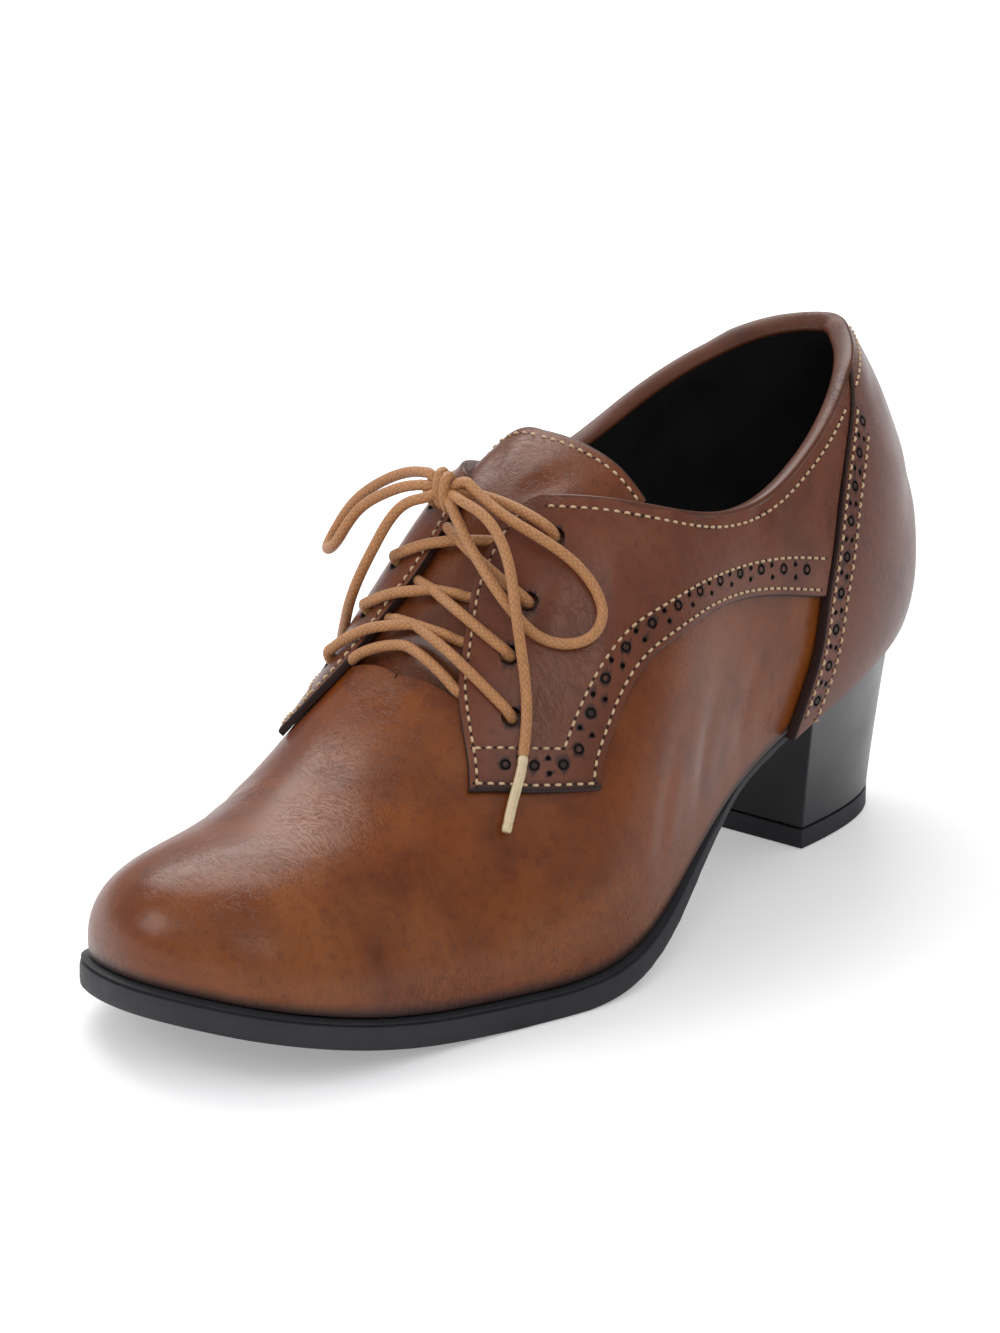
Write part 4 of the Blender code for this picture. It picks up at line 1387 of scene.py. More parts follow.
@made_once("materials", "heel_satin")
def heel_finish(name, finish):
    """Satin near-black heel cover."""
    material, graph, shader, place = start_material(name)
    polish = use(graph, worn_group(), place, Smooth=0.26, Dull=0.36)
    clouds = graph.noise(place, 60.0, 3.0)
    colour = graph.mix(clouds, shade(finish.heel, 0.8), shade(finish.heel, 1.25))
    colour = graph.mix(graph.math("MULTIPLY", polish["Scuffs"], 0.2), colour, shade(finish.heel, 3.0))
    graph.link(colour, shader.inputs["Base Color"])
    graph.link(polish["Roughness"], shader.inputs["Roughness"])
    set_values(shader, Coat_Weight=0.15, Coat_Roughness=0.25)
    wave = graph.noise(place, 55.0, 2.0)
    fine = graph.noise(place, 2200.0, 2.0)
    bumped(graph, shader, [(wave, 0.0002, 0.4), (fine, 0.00003, 0.5)])
    return material


@made_once("materials", "waxed_lace")
def lace_finish(name, finish):
    """Waxed round lace: two sets of slanting strands crossing in its braid."""
    material, graph, shader, place = start_material(name)
    lay = graph.add("ShaderNodeUVMap", uv_map="lay").outputs["UV"]
    parts = graph.add("ShaderNodeSeparateXYZ")
    graph.link(lay, parts.inputs[0])
    around, along = parts.outputs[0], parts.outputs[1]
    turns = graph.math("MULTIPLY", around, 2 * pi * BRAID_STRANDS)
    steps = graph.math("MULTIPLY", along, 2 * pi / BRAID_STEP)
    strands = []
    for operation in ("ADD", "SUBTRACT"):
        slant = graph.math("MULTIPLY", graph.math(operation, turns, steps), 0.5)
        strands.append(graph.math("ABSOLUTE", graph.math("SINE", slant)))
    braid = graph.math("MINIMUM", *strands)
    fleck = graph.noise(place, 900.0, 3.0)
    # Painted shade: the lace is darker along the grooves between its strands.
    tone = graph.mix(graph.spread(braid, 0.0, 0.40), shade(finish.lace, 0.60), shade(finish.lace))
    tone = graph.mix(graph.spread(fleck, 0.45, 0.75, 0.0, 0.4), tone, shade(finish.lace, 1.5))
    graph.link(tone, shader.inputs["Base Color"])
    graph.link(graph.spread(fleck, 0.3, 0.7, 0.42, 0.62), shader.inputs["Roughness"])
    set_values(shader, Coat_Weight=0.08, Sheen_Weight=0.10)
    bumped(graph, shader, [(braid, 0.00012, 0.7), (fleck, 0.00006, 0.5)])
    return material


@made_once("materials", "aglet_film")
def aglet_finish(name, finish):
    """Pale straw-coloured clear film over the lace end."""
    material, graph, shader, place = start_material(name)
    cloud = graph.noise(place, 600.0, 3.0)
    tinted(graph, shader, cloud, shade(finish.aglet, 0.75), shade(finish.aglet, 1.1), 0.22, 0.38)
    set_values(shader, Coat_Weight=0.4)
    bumped(graph, shader, [(cloud, 0.00008, 0.4)])
    return material


def floor_finish():
    """The plain pale floor."""
    material, graph, shader, place = start_material("pale_floor")
    cloud = graph.noise(place, 3.0, 2.0)
    tinted(graph, shader, cloud, (0.80, 0.80, 0.81, 1), (0.84, 0.84, 0.845, 1), 0.5, 0.6)
    set_values(shader, Specular_IOR_Level=0.25, Emission_Strength=0.30)
    path = material.node_tree.nodes.new("ShaderNodeLightPath")
    glow = graph.mix(path.outputs["Is Camera Ray"], (0, 0, 0, 1), (1, 1, 1, 1))
    graph.link(glow, shader.inputs["Emission Color"])
    return material


def area_light(name, place, toward, size, power, colour):
    """A soft square light turned to a point."""
    data = bpy.data.lights.new(name, "AREA")
    data.shape = "SQUARE"
    data.size = size
    data.energy = power
    data.color = colour
    made = added(name, data)
    made.location = place
    made.rotation_euler = (Vector(toward) - Vector(place)).to_track_quat("-Z", "Y").to_euler()


def make_stage(stage):
    """The floor, the soft light and the camera at the photograph's angle."""
    corners = [(x * FLOOR_REACH, y * FLOOR_REACH, FLOOR_LOW) for x, y in ((-1, -1), (1, -1), (1, 1), (-1, 1))]
    floor = mesh_piece("floor", corners, [(0, 1, 2, 3)], [floor_finish()])
    world = bpy.data.worlds.new("pale room")
    bpy.context.scene.world = world
    world.use_nodes = True
    back = world.node_tree.nodes["Background"]
    dim = world.node_tree.nodes.new("ShaderNodeBackground")
    for node, strength in ((back, stage.room_light), (dim, stage.room_gloss)):
        node.inputs["Color"].default_value = ROOM_COLOUR
        node.inputs["Strength"].default_value = strength
    path = world.node_tree.nodes.new("ShaderNodeLightPath")
    either = world.node_tree.nodes.new("ShaderNodeMixShader")
    links = world.node_tree.links
    links.new(path.outputs["Is Glossy Ray"], either.inputs[0])
    links.new(back.outputs[0], either.inputs[1])
    links.new(dim.outputs[0], either.inputs[2])
    links.new(either.outputs[0], world.node_tree.nodes["World Output"].inputs[0])
    powers = (stage.window_light, stage.front_light, stage.toe_light)
    for (name, place, toward, size, colour), power in zip(LAMPS, powers):
        area_light(name, place, toward, size, power, colour)
    data = bpy.data.cameras.new("camera")
    data.lens = CAMERA_LENS
    data.sensor_width = SENSOR_WIDTH
    data.sensor_fit = "HORIZONTAL"
    data.clip_end = 50.0
    camera = added("camera", data)
    right, up, behind = (Vector(row) for row in (CAMERA_RIGHT, CAMERA_UP, CAMERA_BACK))
    turn = Matrix((right, up, behind)).transposed().to_4x4()
    camera.matrix_world = Matrix.Translation(Vector(CAMERA_AIM) + behind * CAMERA_FAR) @ turn
    bpy.context.scene.camera = camera
    bpy.context.scene.view_settings.view_transform = "Standard"


def colour_property(name, description, default):
    """A colour that the sidebar shows."""
    return bpy.props.FloatVectorProperty(
        name=name, description=description, subtype="COLOR", size=3, default=default)


def number_property(name, description, default, **limits):
    """A number that the sidebar shows, never below 0."""
    return bpy.props.FloatProperty(name=name, description=description, default=default, min=0.0, **limits)


def tone_class(label, start):
    """The properties of one leather, with the tones of its own panel as defaults."""

    class Tone(bpy.types.PropertyGroup):
        __doc__ = f"The leather of the {label}"
        colour: colour_property("Colour", "Main tone of the leather", start[0])
        deep: colour_property("Deep tone", "Darker clouds and wrinkles", start[1])
        pale: colour_property("Pale tone", "Paler rubbed places", start[2])
        clouds: number_property("Clouds", "Colour clouds to a metre", start[3])
        lines: number_property("Wrinkles", "Fine wrinkles to a metre", start[4])
        smooth: number_property("Polish", "Roughness where it is polished", start[5], max=1.0)
        dull: number_property("Dullness", "Roughness where it is dull", start[6], max=1.0)

    Tone.__name__ = "SHOE_PG_" + label
    return Tone


def joined(stretches):
    """Stations spread over several stretches, one after the other."""
    return np.concatenate([np.linspace(*stretch) for stretch in stretches])


def make_vamp(finish):
    """The vamp and the body of the upper, creased where the foot bends it."""
    half = joined(VAMP_ROWS)
    around = np.concatenate([half, -half[-2:0:-1]])
    top = upper_top(around)
    up = top[:, None] * joined(VAMP_CLIMB)[None]
    grid = np.broadcast_to(around[:, None], up.shape)
    flat = last(grid, up)
    lift = crease_lift(flat, VAMP_CREASES)
    dark = soft_step(1 - side_distance(flat, 1, False) / FEATHER_DARK)
    # bend and waist set how strongly the wrinkle troughs are painted with shade: over the flex of the vamp
    # and low on the waist.
    bend = soft_step((np.abs(grid) - 0.56) / 0.06) * soft_step((0.80 - np.abs(grid)) / 0.06)
    waist = soft_step(1 - np.abs(np.abs(grid) - 0.47) / 0.16) * soft_step((0.42 - up) / 0.25)
    toe = soft_step((np.abs(grid) - 0.84) / 0.12)
    piece = shell(
        "vamp",
        [leather("vamp_leather", finish.vamp, finish)],
        skin(grid, up, lift),
        skin(grid, up, lift + VAMP_BACK),
        np.stack([dark, np.maximum(bend, waist), toe], -1),
        ring=True,
        open_top=top < CLOSED,
    )
    carry(piece, "leather_vamp", "upper")
    keep = slice(None, None, 2)
    around, up = grid[keep, keep], up[keep, keep]
    inner = shell(
        "lining",
        [lining_finish(finish)],
        skin(around, up, 0 * up + LINING_TOP),
        skin(around, up, 0 * up - WALL),
        ring=True,
        open_top=top[keep] < CLOSED,
    )
    carry(inner, "lining", "upper")


def cut_ring(build, radius, place):
    """The cutter of a ring-shaped punch, which leaves a small boss of leather in its middle."""
    core = radius * RING_CORE
    turn = np.linspace(0, 2 * pi, PUNCH_SIDES, endpoint=False)
    rings = []
    for r, z in ((radius, 0.0), (radius, RING_HIGH), (core, RING_HIGH), (core, 0.0)):
        rings.append([build.verts.new(place @ Vector((r * cos(t), r * sin(t), z))) for t in turn])
    for first, other in zip(rings, rings[1:] + rings[:1]):
        for k in range(PUNCH_SIDES):
            j = (k + 1) % PUNCH_SIDES
            build.faces.new((first[k], first[j], other[j], other[k]))


def hole_cutter(name, side, holes, material, deep):
    """Rods that punch round holes at places on the last: each is a place, a radius and a top."""
    build = bmesh.new()
    for (around, up), radius, top in holes:
        out = Vector(last_normal(side * around, up))
        turn = out.to_track_quat("Z", "Y").to_matrix().to_4x4()
        if radius == BIG_HOLE:
            middle = Vector(skin(side * around, up, top - RING_DEEP))
            cut_ring(build, radius, Matrix.Translation(middle) @ turn)
            continue
        middle = Vector(skin(side * around, up, top - deep))
        reach = deep + PUNCH_PAST
        place = Matrix.Translation(middle + out * reach / 2) @ turn
        rod = {"segments": PUNCH_SIDES, "radius1": radius, "radius2": radius, "depth": reach}
        bmesh.ops.create_cone(build, cap_ends=True, matrix=place, **rod)
    mesh = bpy.data.meshes.new(name)
    build.to_mesh(mesh)
    build.free()
    mesh.materials.append(material)
    return added(name, mesh)


def punch(piece, cutter):
    """Cut the holes into the piece and drop the cutter."""
    cut = piece.modifiers.new("holes", "BOOLEAN")
    cut.operation = "DIFFERENCE"
    cut.solver = "EXACT"
    cut.material_mode = "TRANSFER"
    cut.object = cutter
    apply_modifier(piece, cut)
    piece.data.set_sharp_from_angle(angle=SHARP)
    mesh = cutter.data
    bpy.data.objects.remove(cutter)
    bpy.data.meshes.remove(mesh)


def spread_holes(side, path):
    """Big holes an even step apart along a row, and the places half way between them."""
    run = path_run(side, path)
    count = max(1, round((run[-1] - 2 * FIRST_HOLE) / HOLE_STEP))
    step = (run[-1] - 2 * FIRST_HOLE) / count
    big = row_at(FIRST_HOLE + step * np.arange(count + 1), run, path)
    between = row_at(FIRST_HOLE + step * (np.arange(count) + 0.5), run, path)
    return big, between


def band_rows(side):
    """The rows of the punched strip and of the wing band: lower stitches, holes and upper stitches."""

    def lifted(edge, count, distance, toward, start, end):
        return trimmed(side, moved(side, along_row(edge, count), distance, toward), start, end)

    return {
        "strip_low": lifted(FACING_FOOT, STRIP_POINTS, EDGE_ROW, (-0.6, 1), 0.0012, 0.0005),
        "strip_mid": lifted(FACING_FOOT, STRIP_POINTS, BAND_HOLES, (-0.6, 1), 0.0045, 0.0035),
        "strip_top": trimmed(side, along_row(STRIP_TOP, STRIP_POINTS), 0.0008, 0.0),
        "wing_low": lifted(WING_EDGE, WING_POINTS, EDGE_ROW, (0, 1), 0.0022, 0.001),
        "wing_mid": lifted(WING_EDGE, WING_POINTS, BAND_HOLES, (0, 1), 0.0045, 0.003),
        "wing_top": trimmed(side, along_row(BAND_TOP, WING_POINTS), 0.0, 0.0012),
    }


def counter_rows(side):
    """The rows along the front edge of the counter, from the sole up to the topline."""
    up = np.linspace(*COUNTER_SPAN)
    edge = np.stack([counter_edge_at(up), up], 1)
    top = topline_up(side * edge[:, 0])
    edge = edge[up < top - 0.02]
    rows = {
        "counter_low": moved(side, edge, COUNTER_ROWS[0], (-1, 0)),
        "counter_top": moved(side, edge, COUNTER_ROWS[1], (-1, 0)),
        "counter_mid": moved(side, edge, COUNTER_HOLES, (-1, 0)),
    }
    return {name: trimmed(side, row, 0.003, 0.0015) for name, row in rows.items()}


def paired_holes(side, rows, band, lift):
    """Holes of a punched row: big ones on its middle, small pairs beside it."""
    big, between = spread_holes(side, rows[band + "_mid"])
    holes = [(tuple(place), BIG_HOLE, lift) for place in big]
    for place in between:
        here = last(side * place[0], place[1])
        for row in (rows[band + "_low"], rows[band + "_top"]):
            points = last(side * row[:, 0], row[:, 1])
            near = row[np.argmin(np.linalg.norm(points - here, axis=1))]
            holes.append((tuple(place + PAIR_OUT * (near - place)), SMALL_HOLE, lift))
    return holes


def quarter_edge_mask(grid, edge_count, foot_count):
    """How dark the cut edge is: a broad band along the foot, a thin one along the wing and the front."""
    low = side_distance(grid, 1, False)
    spot = np.arange(grid.shape[0])
    foot = soft_step((spot - edge_count + 2) / 3) * soft_step((edge_count + foot_count + 1 - spot) / 3)
    width = WING_DARK + FOOT_DARK * foot
    return soft_step(1.6 - 1.6 * low / width[:, None])


def make_quarter(name, side, finish):
    """One quarter with its facing, its punched band and its eyelets."""
    grid = quarter_grid(side, *QUARTER_COUNTS, edge_shares(QUARTER_CLIMB))
    around = side * grid[..., 0]
    up = grid[..., 1]
    flat = last(around, up)
    dark = quarter_edge_mask(flat, *QUARTER_COUNTS[:2])
    lift = PANEL_TOP + crease_lift(flat, QUARTER_CREASES) - cut_drop(side_distance(flat, 1, False), CUT_ROUND)
    # How strongly the wrinkle troughs of the quarter are painted with shade, most between the counter and the
    # facing.
    fold_shade = soft_step((np.abs(around) - 0.30) / 0.1) * soft_step((0.62 - np.abs(around)) / 0.08)
    masks = np.stack([dark, fold_shade, 0 * fold_shade], -1)
    hole = hole_finish()
    piece = shell(
        name + "_leather",
        [leather("quarter_leather", finish.quarter, finish), hole],
        skin(around, up, lift),
        skin(around, up, 0 * up + GAP),
        masks,
    )
    rows = band_rows(side)
    holes = paired_holes(side, rows, "strip", PANEL_TOP) + paired_holes(side, rows, "wing", PANEL_TOP)
    punch(piece, hole_cutter(name + "_punch", side, holes, hole, HOLE_DEEP))
    eyelets = [(place, EYELET_RADIUS, PANEL_TOP) for place in EYELETS]
    punch(piece, hole_cutter(name + "_eyelets", side, eyelets, hole, 2 * PANEL_TOP))
    carry(piece, "leather_quarter", name)


def make_counter(finish):
    """The counter round the back of the heel, with a dark cut front edge and a punched row."""
    rows = np.linspace(0, 1, COUNTER_CLIMB)
    across = 2 * edge_shares(COUNTER_ACROSS, COUNTER_NEAR) - 1
    around = np.zeros((len(across), len(rows)))
    up = np.zeros_like(around)
    spots = np.linspace(-COUNTER_REACH, COUNTER_REACH, COUNTER_SPOTS)
    tops = topline_up(spots)
    for j, row in enumerate(rows):
        edge = np.array([0.2, 0.2])
        for _ in range(COUNTER_ROUNDS):
            top = np.interp(np.array([-1, 1]) * edge, spots, tops)
            edge = (edge + counter_edge_at(row * top)) / 2
        a = np.where(across < 0, across * edge[0], across * edge[1])
        around[:, j] = a
        up[:, j] = row * np.interp(a, spots, tops)
    flat = last(around, up)
    inside = np.minimum(side_distance(flat, 0, False), side_distance(flat, 0, True))
    lift = COUNTER_TOP - cut_drop(inside, CUT_ROUND) + crease_lift(flat, COUNTER_CREASES)
    width = COUNTER_DARK[0] + COUNTER_DARK[1] * soft_step(up / 0.7)
    dark = soft_step(1.6 - 1.6 * inside / width)
    hole = hole_finish()
    piece = shell(
        "counter_panel",
        [leather("counter_leather", finish.counter, finish), hole],
        skin(around, up, lift),
        skin(around, up, 0 * up + GAP),
        # The second mask, 0.5, sets how strongly the wrinkle troughs are painted with shade.
        np.stack([dark, 0.5 + 0 * dark, 0 * dark], -1),
    )
    for side in (1, -1):
        holes = paired_holes(side, counter_rows(side), "counter", COUNTER_TOP)
        punch(piece, hole_cutter("counter_punch", side, holes, hole, HOLE_DEEP))
    carry(piece, "leather_quarter", "counter")


def make_tongue(finish):
    """The tongue, dented by the foot and stitched along its top edge."""
    across = np.linspace(-1, 1, TONGUE_ACROSS)
    rows = np.concatenate([TONGUE_NEAR, np.linspace(*TONGUE_CLIMB)])
    q, r = np.meshgrid(across, rows, indexing="ij")
    width = np.abs(q)
    top_up = 1 - width * (1 - TONGUE_TOP[0][0])
    start = tongue_top_at(top_up)
    end = TONGUE_TUCK - TONGUE_END_BEND * width**2
    around = start + r * (end - start)
    edge = np.minimum(throat_at(around) + TONGUE_IN, TONGUE_LOWEST)
    up = 1 - width * (1 - edge)
    tuck = TONGUE_DROP * soft_step((around - TONGUE_DROP_FROM) / FAR_TUCK)
    around = np.where(q < 0, -around, around)
    flat = last(around, up)
    drop = cut_drop(side_distance(flat, 1, False), CUT_ROUND)
    dark = soft_step(1.4 - 1.4 * side_distance(flat, 1, False) / TONGUE_DARK)
    lift = crease_lift(flat, TONGUE_DENTS) - GAP - drop - tuck
    piece = shell(
        "tongue_leather",
        [leather("tongue_leather", finish.tongue, finish)],
        skin(around, up, lift),
        skin(around, up, -WALL - tuck),
        # The second mask, 0.6, sets how strongly the wrinkle troughs are painted with shade.
        np.stack([dark, 0.6 + 0 * dark, 0 * dark], -1),
    )
    carry(piece, "leather_quarter", "tongue")


def make_collar(finish):
    """The rolled edge along the topline, over the layers of the upper."""
    reach = FACING_EDGE[-1][0] + COLLAR_PAST
    around = np.linspace(-reach, reach, COLLAR_RINGS)
    a = np.abs(around)
    top = topline_up(around)
    panel = np.where(a < counter_edge_at(top), COUNTER_TOP, PANEL_TOP)
    soft = np.ones(COLLAR_SOFT) / COLLAR_SOFT
    panel = np.convolve(np.pad(panel, COLLAR_SOFT // 2, mode="edge"), soft, mode="valid")
    middle = skin(around, top, (panel - WALL) / 2)
    out = last_normal(around, top)
    forward = unit(np.gradient(middle, axis=0))
    rise = unit(np.cross(out, forward))
    rise = rise * np.sign(rise[:, 2:])
    taper = np.sqrt(soft_step((reach - a) / COLLAR_FADE)) * 0.96 + 0.04
    turn = np.linspace(0, 2 * pi, COLLAR_SIDES, endpoint=False)
    wide, high = (np.sign(wave) * np.abs(wave) ** COLLAR_SQUARE for wave in (np.cos(turn), np.sin(turn)))
    wide = (((panel + WALL) / 2 + COLLAR_OVER) * taper)[:, None] * wide
    high = (BINDING_HALF * taper)[:, None] * high
    rings = middle[:, None] + out[:, None] * wide[..., None] + rise[:, None] * high[..., None]
    points = rings.reshape(-1, 3)
    # The second mask, 0.6, sets how strongly the wrinkle troughs are painted with shade.
    masks = np.tile((0.0, 0.6, 0.0), (len(points), 1))
    material = leather("collar_leather", finish.collar, finish)
    piece = mesh_piece("collar_edge", points, ring_faces(len(rings), COLLAR_SIDES), [material], masks)
    turn_outwards(piece)
    carry(piece, "leather_quarter")


def sewn_rows(side):
    """Every stitched row on one side: its places on the last and how high the leather lies there."""
    rows = []
    bands = band_rows(side)
    for name in ("strip_low", "strip_top", "wing_low", "wing_top"):
        rows.append((bands[name], PANEL_TOP))
    front = along_row(np.array(FACING_EDGE[:-1]), 60)
    rows.append((trimmed(side, moved(side, front, EDGE_ROW, (-1, -0.4)), 0.001, 0.001), PANEL_TOP))
    counter = counter_rows(side)
    rows.append((counter["counter_low"], COUNTER_TOP))
    rows.append((counter["counter_top"], COUNTER_TOP))
    return rows


def topline_rows(side):
    """The row under the topline, on the quarter and then on the counter."""
    around = np.linspace(TOPLINE_FROM, 0.0, TOPLINE_POINTS)
    top = topline_up(side * around)
    path = moved(side, np.stack([around, top], 1), TOPLINE_ROW, (0, -1))
    behind = path[:, 0] < counter_edge_at(path[:, 1]) - BEHIND_EDGE
    ahead = path[:, 0] > counter_edge_at(path[:, 1]) + AHEAD_OF_EDGE
    return [(path[ahead], PANEL_TOP), (path[behind], COUNTER_TOP)]


def tongue_rows(side):
    """The row along the top edge of the tongue, on one side of the ridge."""
    q = np.linspace(-1, 1, TONGUE_POINTS)
    up = 1 - np.abs(q) * (1 - TONGUE_TOP[0][0])
    part = q >= 0 if side > 0 else q <= 0
    return [(np.stack([tongue_top_at(up) + TONGUE_ROW, up], 1)[part], -GAP)]


def make_stitching(finish):
    """Thread and needle holes of every seam that shows."""
    threads = []
    pits = []
    sewn = [(side, *row) for side in (1, -1) for row in sewn_rows(side) + topline_rows(side)]
    sewn += [(side, *row) for side in (1, -1) for row in tongue_rows(side)]
    for side, path, lift in sewn:
        length = path_run(side, path)[-1]
        count = max(int(length / STITCH_PITCH), 1)
        spots = np.arange(count + 1) * length / count
        middles = (spots[1:] + spots[:-1]) / 2
        threads.append(spread_shape(stitch_shape(), frames_along(side, path, lift, middles)))
        pits.append(spread_shape(pit_shape(), frames_along(side, path, lift, spots)))
    carry(mesh_piece("stitching", *merged(threads), [thread_finish(finish)]))
    # Painted shade: the needle holes are thin dark discs on the leather, standing for the shade inside each
    # hole.
    carry(mesh_piece("needle_holes", *merged(pits), [hole_finish()]))


def make_sole(finish):
    """The outsole: a groove under its upper edge, a plain side and a flat tread under the ball."""
    around = joined(SOLE_ROUND)
    loops = []
    for side in (1, -1):
        t = along_of(rim(side * around, 0 * around))
        top = bottom_at(t) - GAP
        thick = top - np.maximum(bottom_at(t) - thick_at(t), 0)
        rows = []
        for inset, share, drop in SOLE_PROFILE:
            rough = 0.0
            if 0.9 < share < 0.99:
                rough = SOLE_ROUGH * np.sin(310 * around) * np.sin(87 * around + 1.3)
            plan = rim(side * around, out_at(t) + inset * np.minimum(1, thick / SOLE_THICK))
            drop = np.minimum(drop, 0.3 * thick)
            rows.append(np.column_stack([plan, top - drop - share * (thick - drop) + rough]))
        loops.append(np.stack(rows, 1))
    lateral, medial = loops
    q = np.linspace(0, 1, SOLE_ACROSS + 2)[None, 1:-1, None]
    over = lateral[:, None, 0] * (1 - q) + medial[:, None, 0] * q
    over[..., 2] = bottom_at(along_of(over)) - GAP
    under = medial[:, None, -1] * (1 - q) + lateral[:, None, -1] * q
    t = along_of(under)
    under[..., 2] = np.maximum(bottom_at(t) - thick_at(t), 0)
    rings = np.concatenate([lateral[:, ::-1], over, medial, under], 1)
    faces = ring_faces(*rings.shape[:2])
    piece = mesh_piece("sole", rings.reshape(-1, 3), faces, [rubber_finish(finish)])
    turn_outwards(piece)
    carry(piece, "rubber_sole", "outsole")


def lofted(name, material, sections, bevel):
    """A closed block through D-shaped sections, its edges broken by a small bevel."""
    faces = ring_faces(len(sections), len(sections[0]))
    made = mesh_piece(name, np.concatenate(sections), faces, [material])
    turn_outwards(made)
    cut = made.modifiers.new("broken edges", "BEVEL")
    cut.width = bevel
    cut.segments = 2
    cut.limit_method = "ANGLE"
    cut.angle_limit = SHARP
    cut.harden_normals = True
    apply_modifier(made, cut)
    return made


def make_heel(finish):
    """The covered block heel with its flat breast, on a thin rubber top lift."""
    foot = heel_foot(HEEL_POINTS)
    around = np.linspace(HEEL_BREAST_TOP, -HEEL_BREAST_TOP, HEEL_POINTS)
    seat = rim(around, 0 * around - HEEL_IN)
    t = along_of(seat)
    z = bottom_at(t) - thick_at(t) - GAP
    base = LIFT_HIGH + HEEL_LIFTED
    sections = []
    for share in np.linspace(0, 1, HEEL_SECTIONS):
        mix = share**HEEL_TAPER
        sections.append(np.column_stack([foot * (1 - mix) + seat * mix, base + (z - base) * share]))
    block = lofted("heel_block", heel_finish(finish), sections, HEEL_BEVEL)
    carry(block, "heel_cover", "heel")
    plates = [np.column_stack([foot, np.full(HEEL_POINTS, high)]) for high in (0.0, LIFT_HIGH)]
    lift = lofted("heel_lift", rubber_finish(finish), plates, LIFT_BEVEL)
    carry(lift, "rubber_sole", "top_lift")


def lace_tube(name, route, finish):
    """A round waxed lace along a route, with the lay of its braid in its UV map."""
    points = evenly(route, LACE_STEP)
    run = unit(np.gradient(points, axis=0))
    across = unit(np.cross(run[0], (0.13, 0.21, 1.0)))
    frames = []
    for direction in run:
        across = unit(across - direction * np.dot(across, direction))
        frames.append(across)
    across = np.array(frames)
    s = run_length(points)
    end = np.minimum(s, s[-1] - s)
    thick = LACE * (0.93 + 0.07 * soft_step(end / 0.001))
    rings = tube_points(points, across, np.cross(across, run), thick, LACE_SIDES)
    steps = np.arange(LACE_SIDES + 1) / LACE_SIDES
    uvs = [(u, far) for far in (0.0, s[-1]) for u in steps[:-1]]
    for near, far in zip(s[:-1], s[1:]):
        for u, v in zip(steps[:-1], steps[1:]):
            uvs += [(u, near), (u, far), (v, far), (v, near)]
    faces = ring_faces(len(points), LACE_SIDES)
    return mesh_piece(name, rings, faces, [lace_finish(finish)], uvs=uvs), points


def through_eyelets(first, second, side):
    """The lace up out of one eyelet, over the ridge, and down under the other facing to its eyelet."""
    around_a, up_a = first
    around_b, up_b = second
    own_edge = (1 - facing_up_at(around_a)) / (1 - up_a)
    far_edge = -(1 - facing_up_at(around_b) - FAR_TUCK) / (1 - up_b)
    q = np.concatenate([np.linspace(0.93, far_edge, 24), np.linspace(far_edge, -1, 7)[1:]])
    around = around_a + (around_b - around_a) * (1 - q) / 2 + LACE_BEND * (1 - q * q)
    up = 1 - np.abs(q) * np.where(q > 0, 1 - up_a, 1 - up_b)
    stops = (-1, far_edge - 0.12, far_edge, 0, own_edge, 0.93)
    lifts = (0.0002, 0.0004, LACE_UNDER, LACE_CREST, LACE_OVER, LACE_OVER)
    points = skin(side * np.where(q > 0, around, -around), up, np.interp(q, stops, lifts))
    return np.concatenate([skin(side * around_a, up_a, HOLE_LIFTS), points])


def make_crossings(finish):
    """The bar and the three crossings, run through the punched eyelets."""
    reach = 1 - EYELETS[0][1]
    edge = 1 - facing_up_at(BAR_AROUND) - FAR_TUCK
    q = np.linspace(1, -1, 24)
    across = edge / reach
    lift = np.interp(np.abs(q), (0, across, across + 0.1, 1), (LACE_UNDER, LACE_UNDER, 0.0004, 0.0002))
    around = BAR_AROUND + (EYELETS[0][0] - BAR_AROUND) * soft_step((np.abs(q) - across) / (1 - across))
    bar = skin(np.where(q > 0, around, -around), 1 - np.abs(q) * reach, lift)
    piece, _ = lace_tube("lace_row_bar", bar, finish)
    carry(piece, "lace_cord", "lace_bar")
    for k in range(len(EYELETS) - 1):
        for side, name in ((1, "lateral"), (-1, "medial")):
            route = through_eyelets(EYELETS[k], EYELETS[k + 1], side)
            piece, _ = lace_tube(f"lace_row_{k + 1}_{name}", route, finish)
            carry(piece, "lace_cord", f"lace_cross_{k + 1}")
    around, up = EYELETS[-1]
    for side, name in ((1, "lateral"), (-1, "medial")):
        hole = skin(side * around, up, (*HOLE_LIFTS, TIE_LIFT))
        last_point = np.array(KNOT) + np.array([side * 0.0030, 0.0006, 0.0004])
        high = (hole[-1] + last_point) / 2 + np.array([side * 0.0012, 0.0004, 0.0016])
        piece, _ = lace_tube(f"lace_tie_{name}", np.concatenate([hole, [high, last_point]]), finish)
        carry(piece, "lace_cord", "lace_knot")


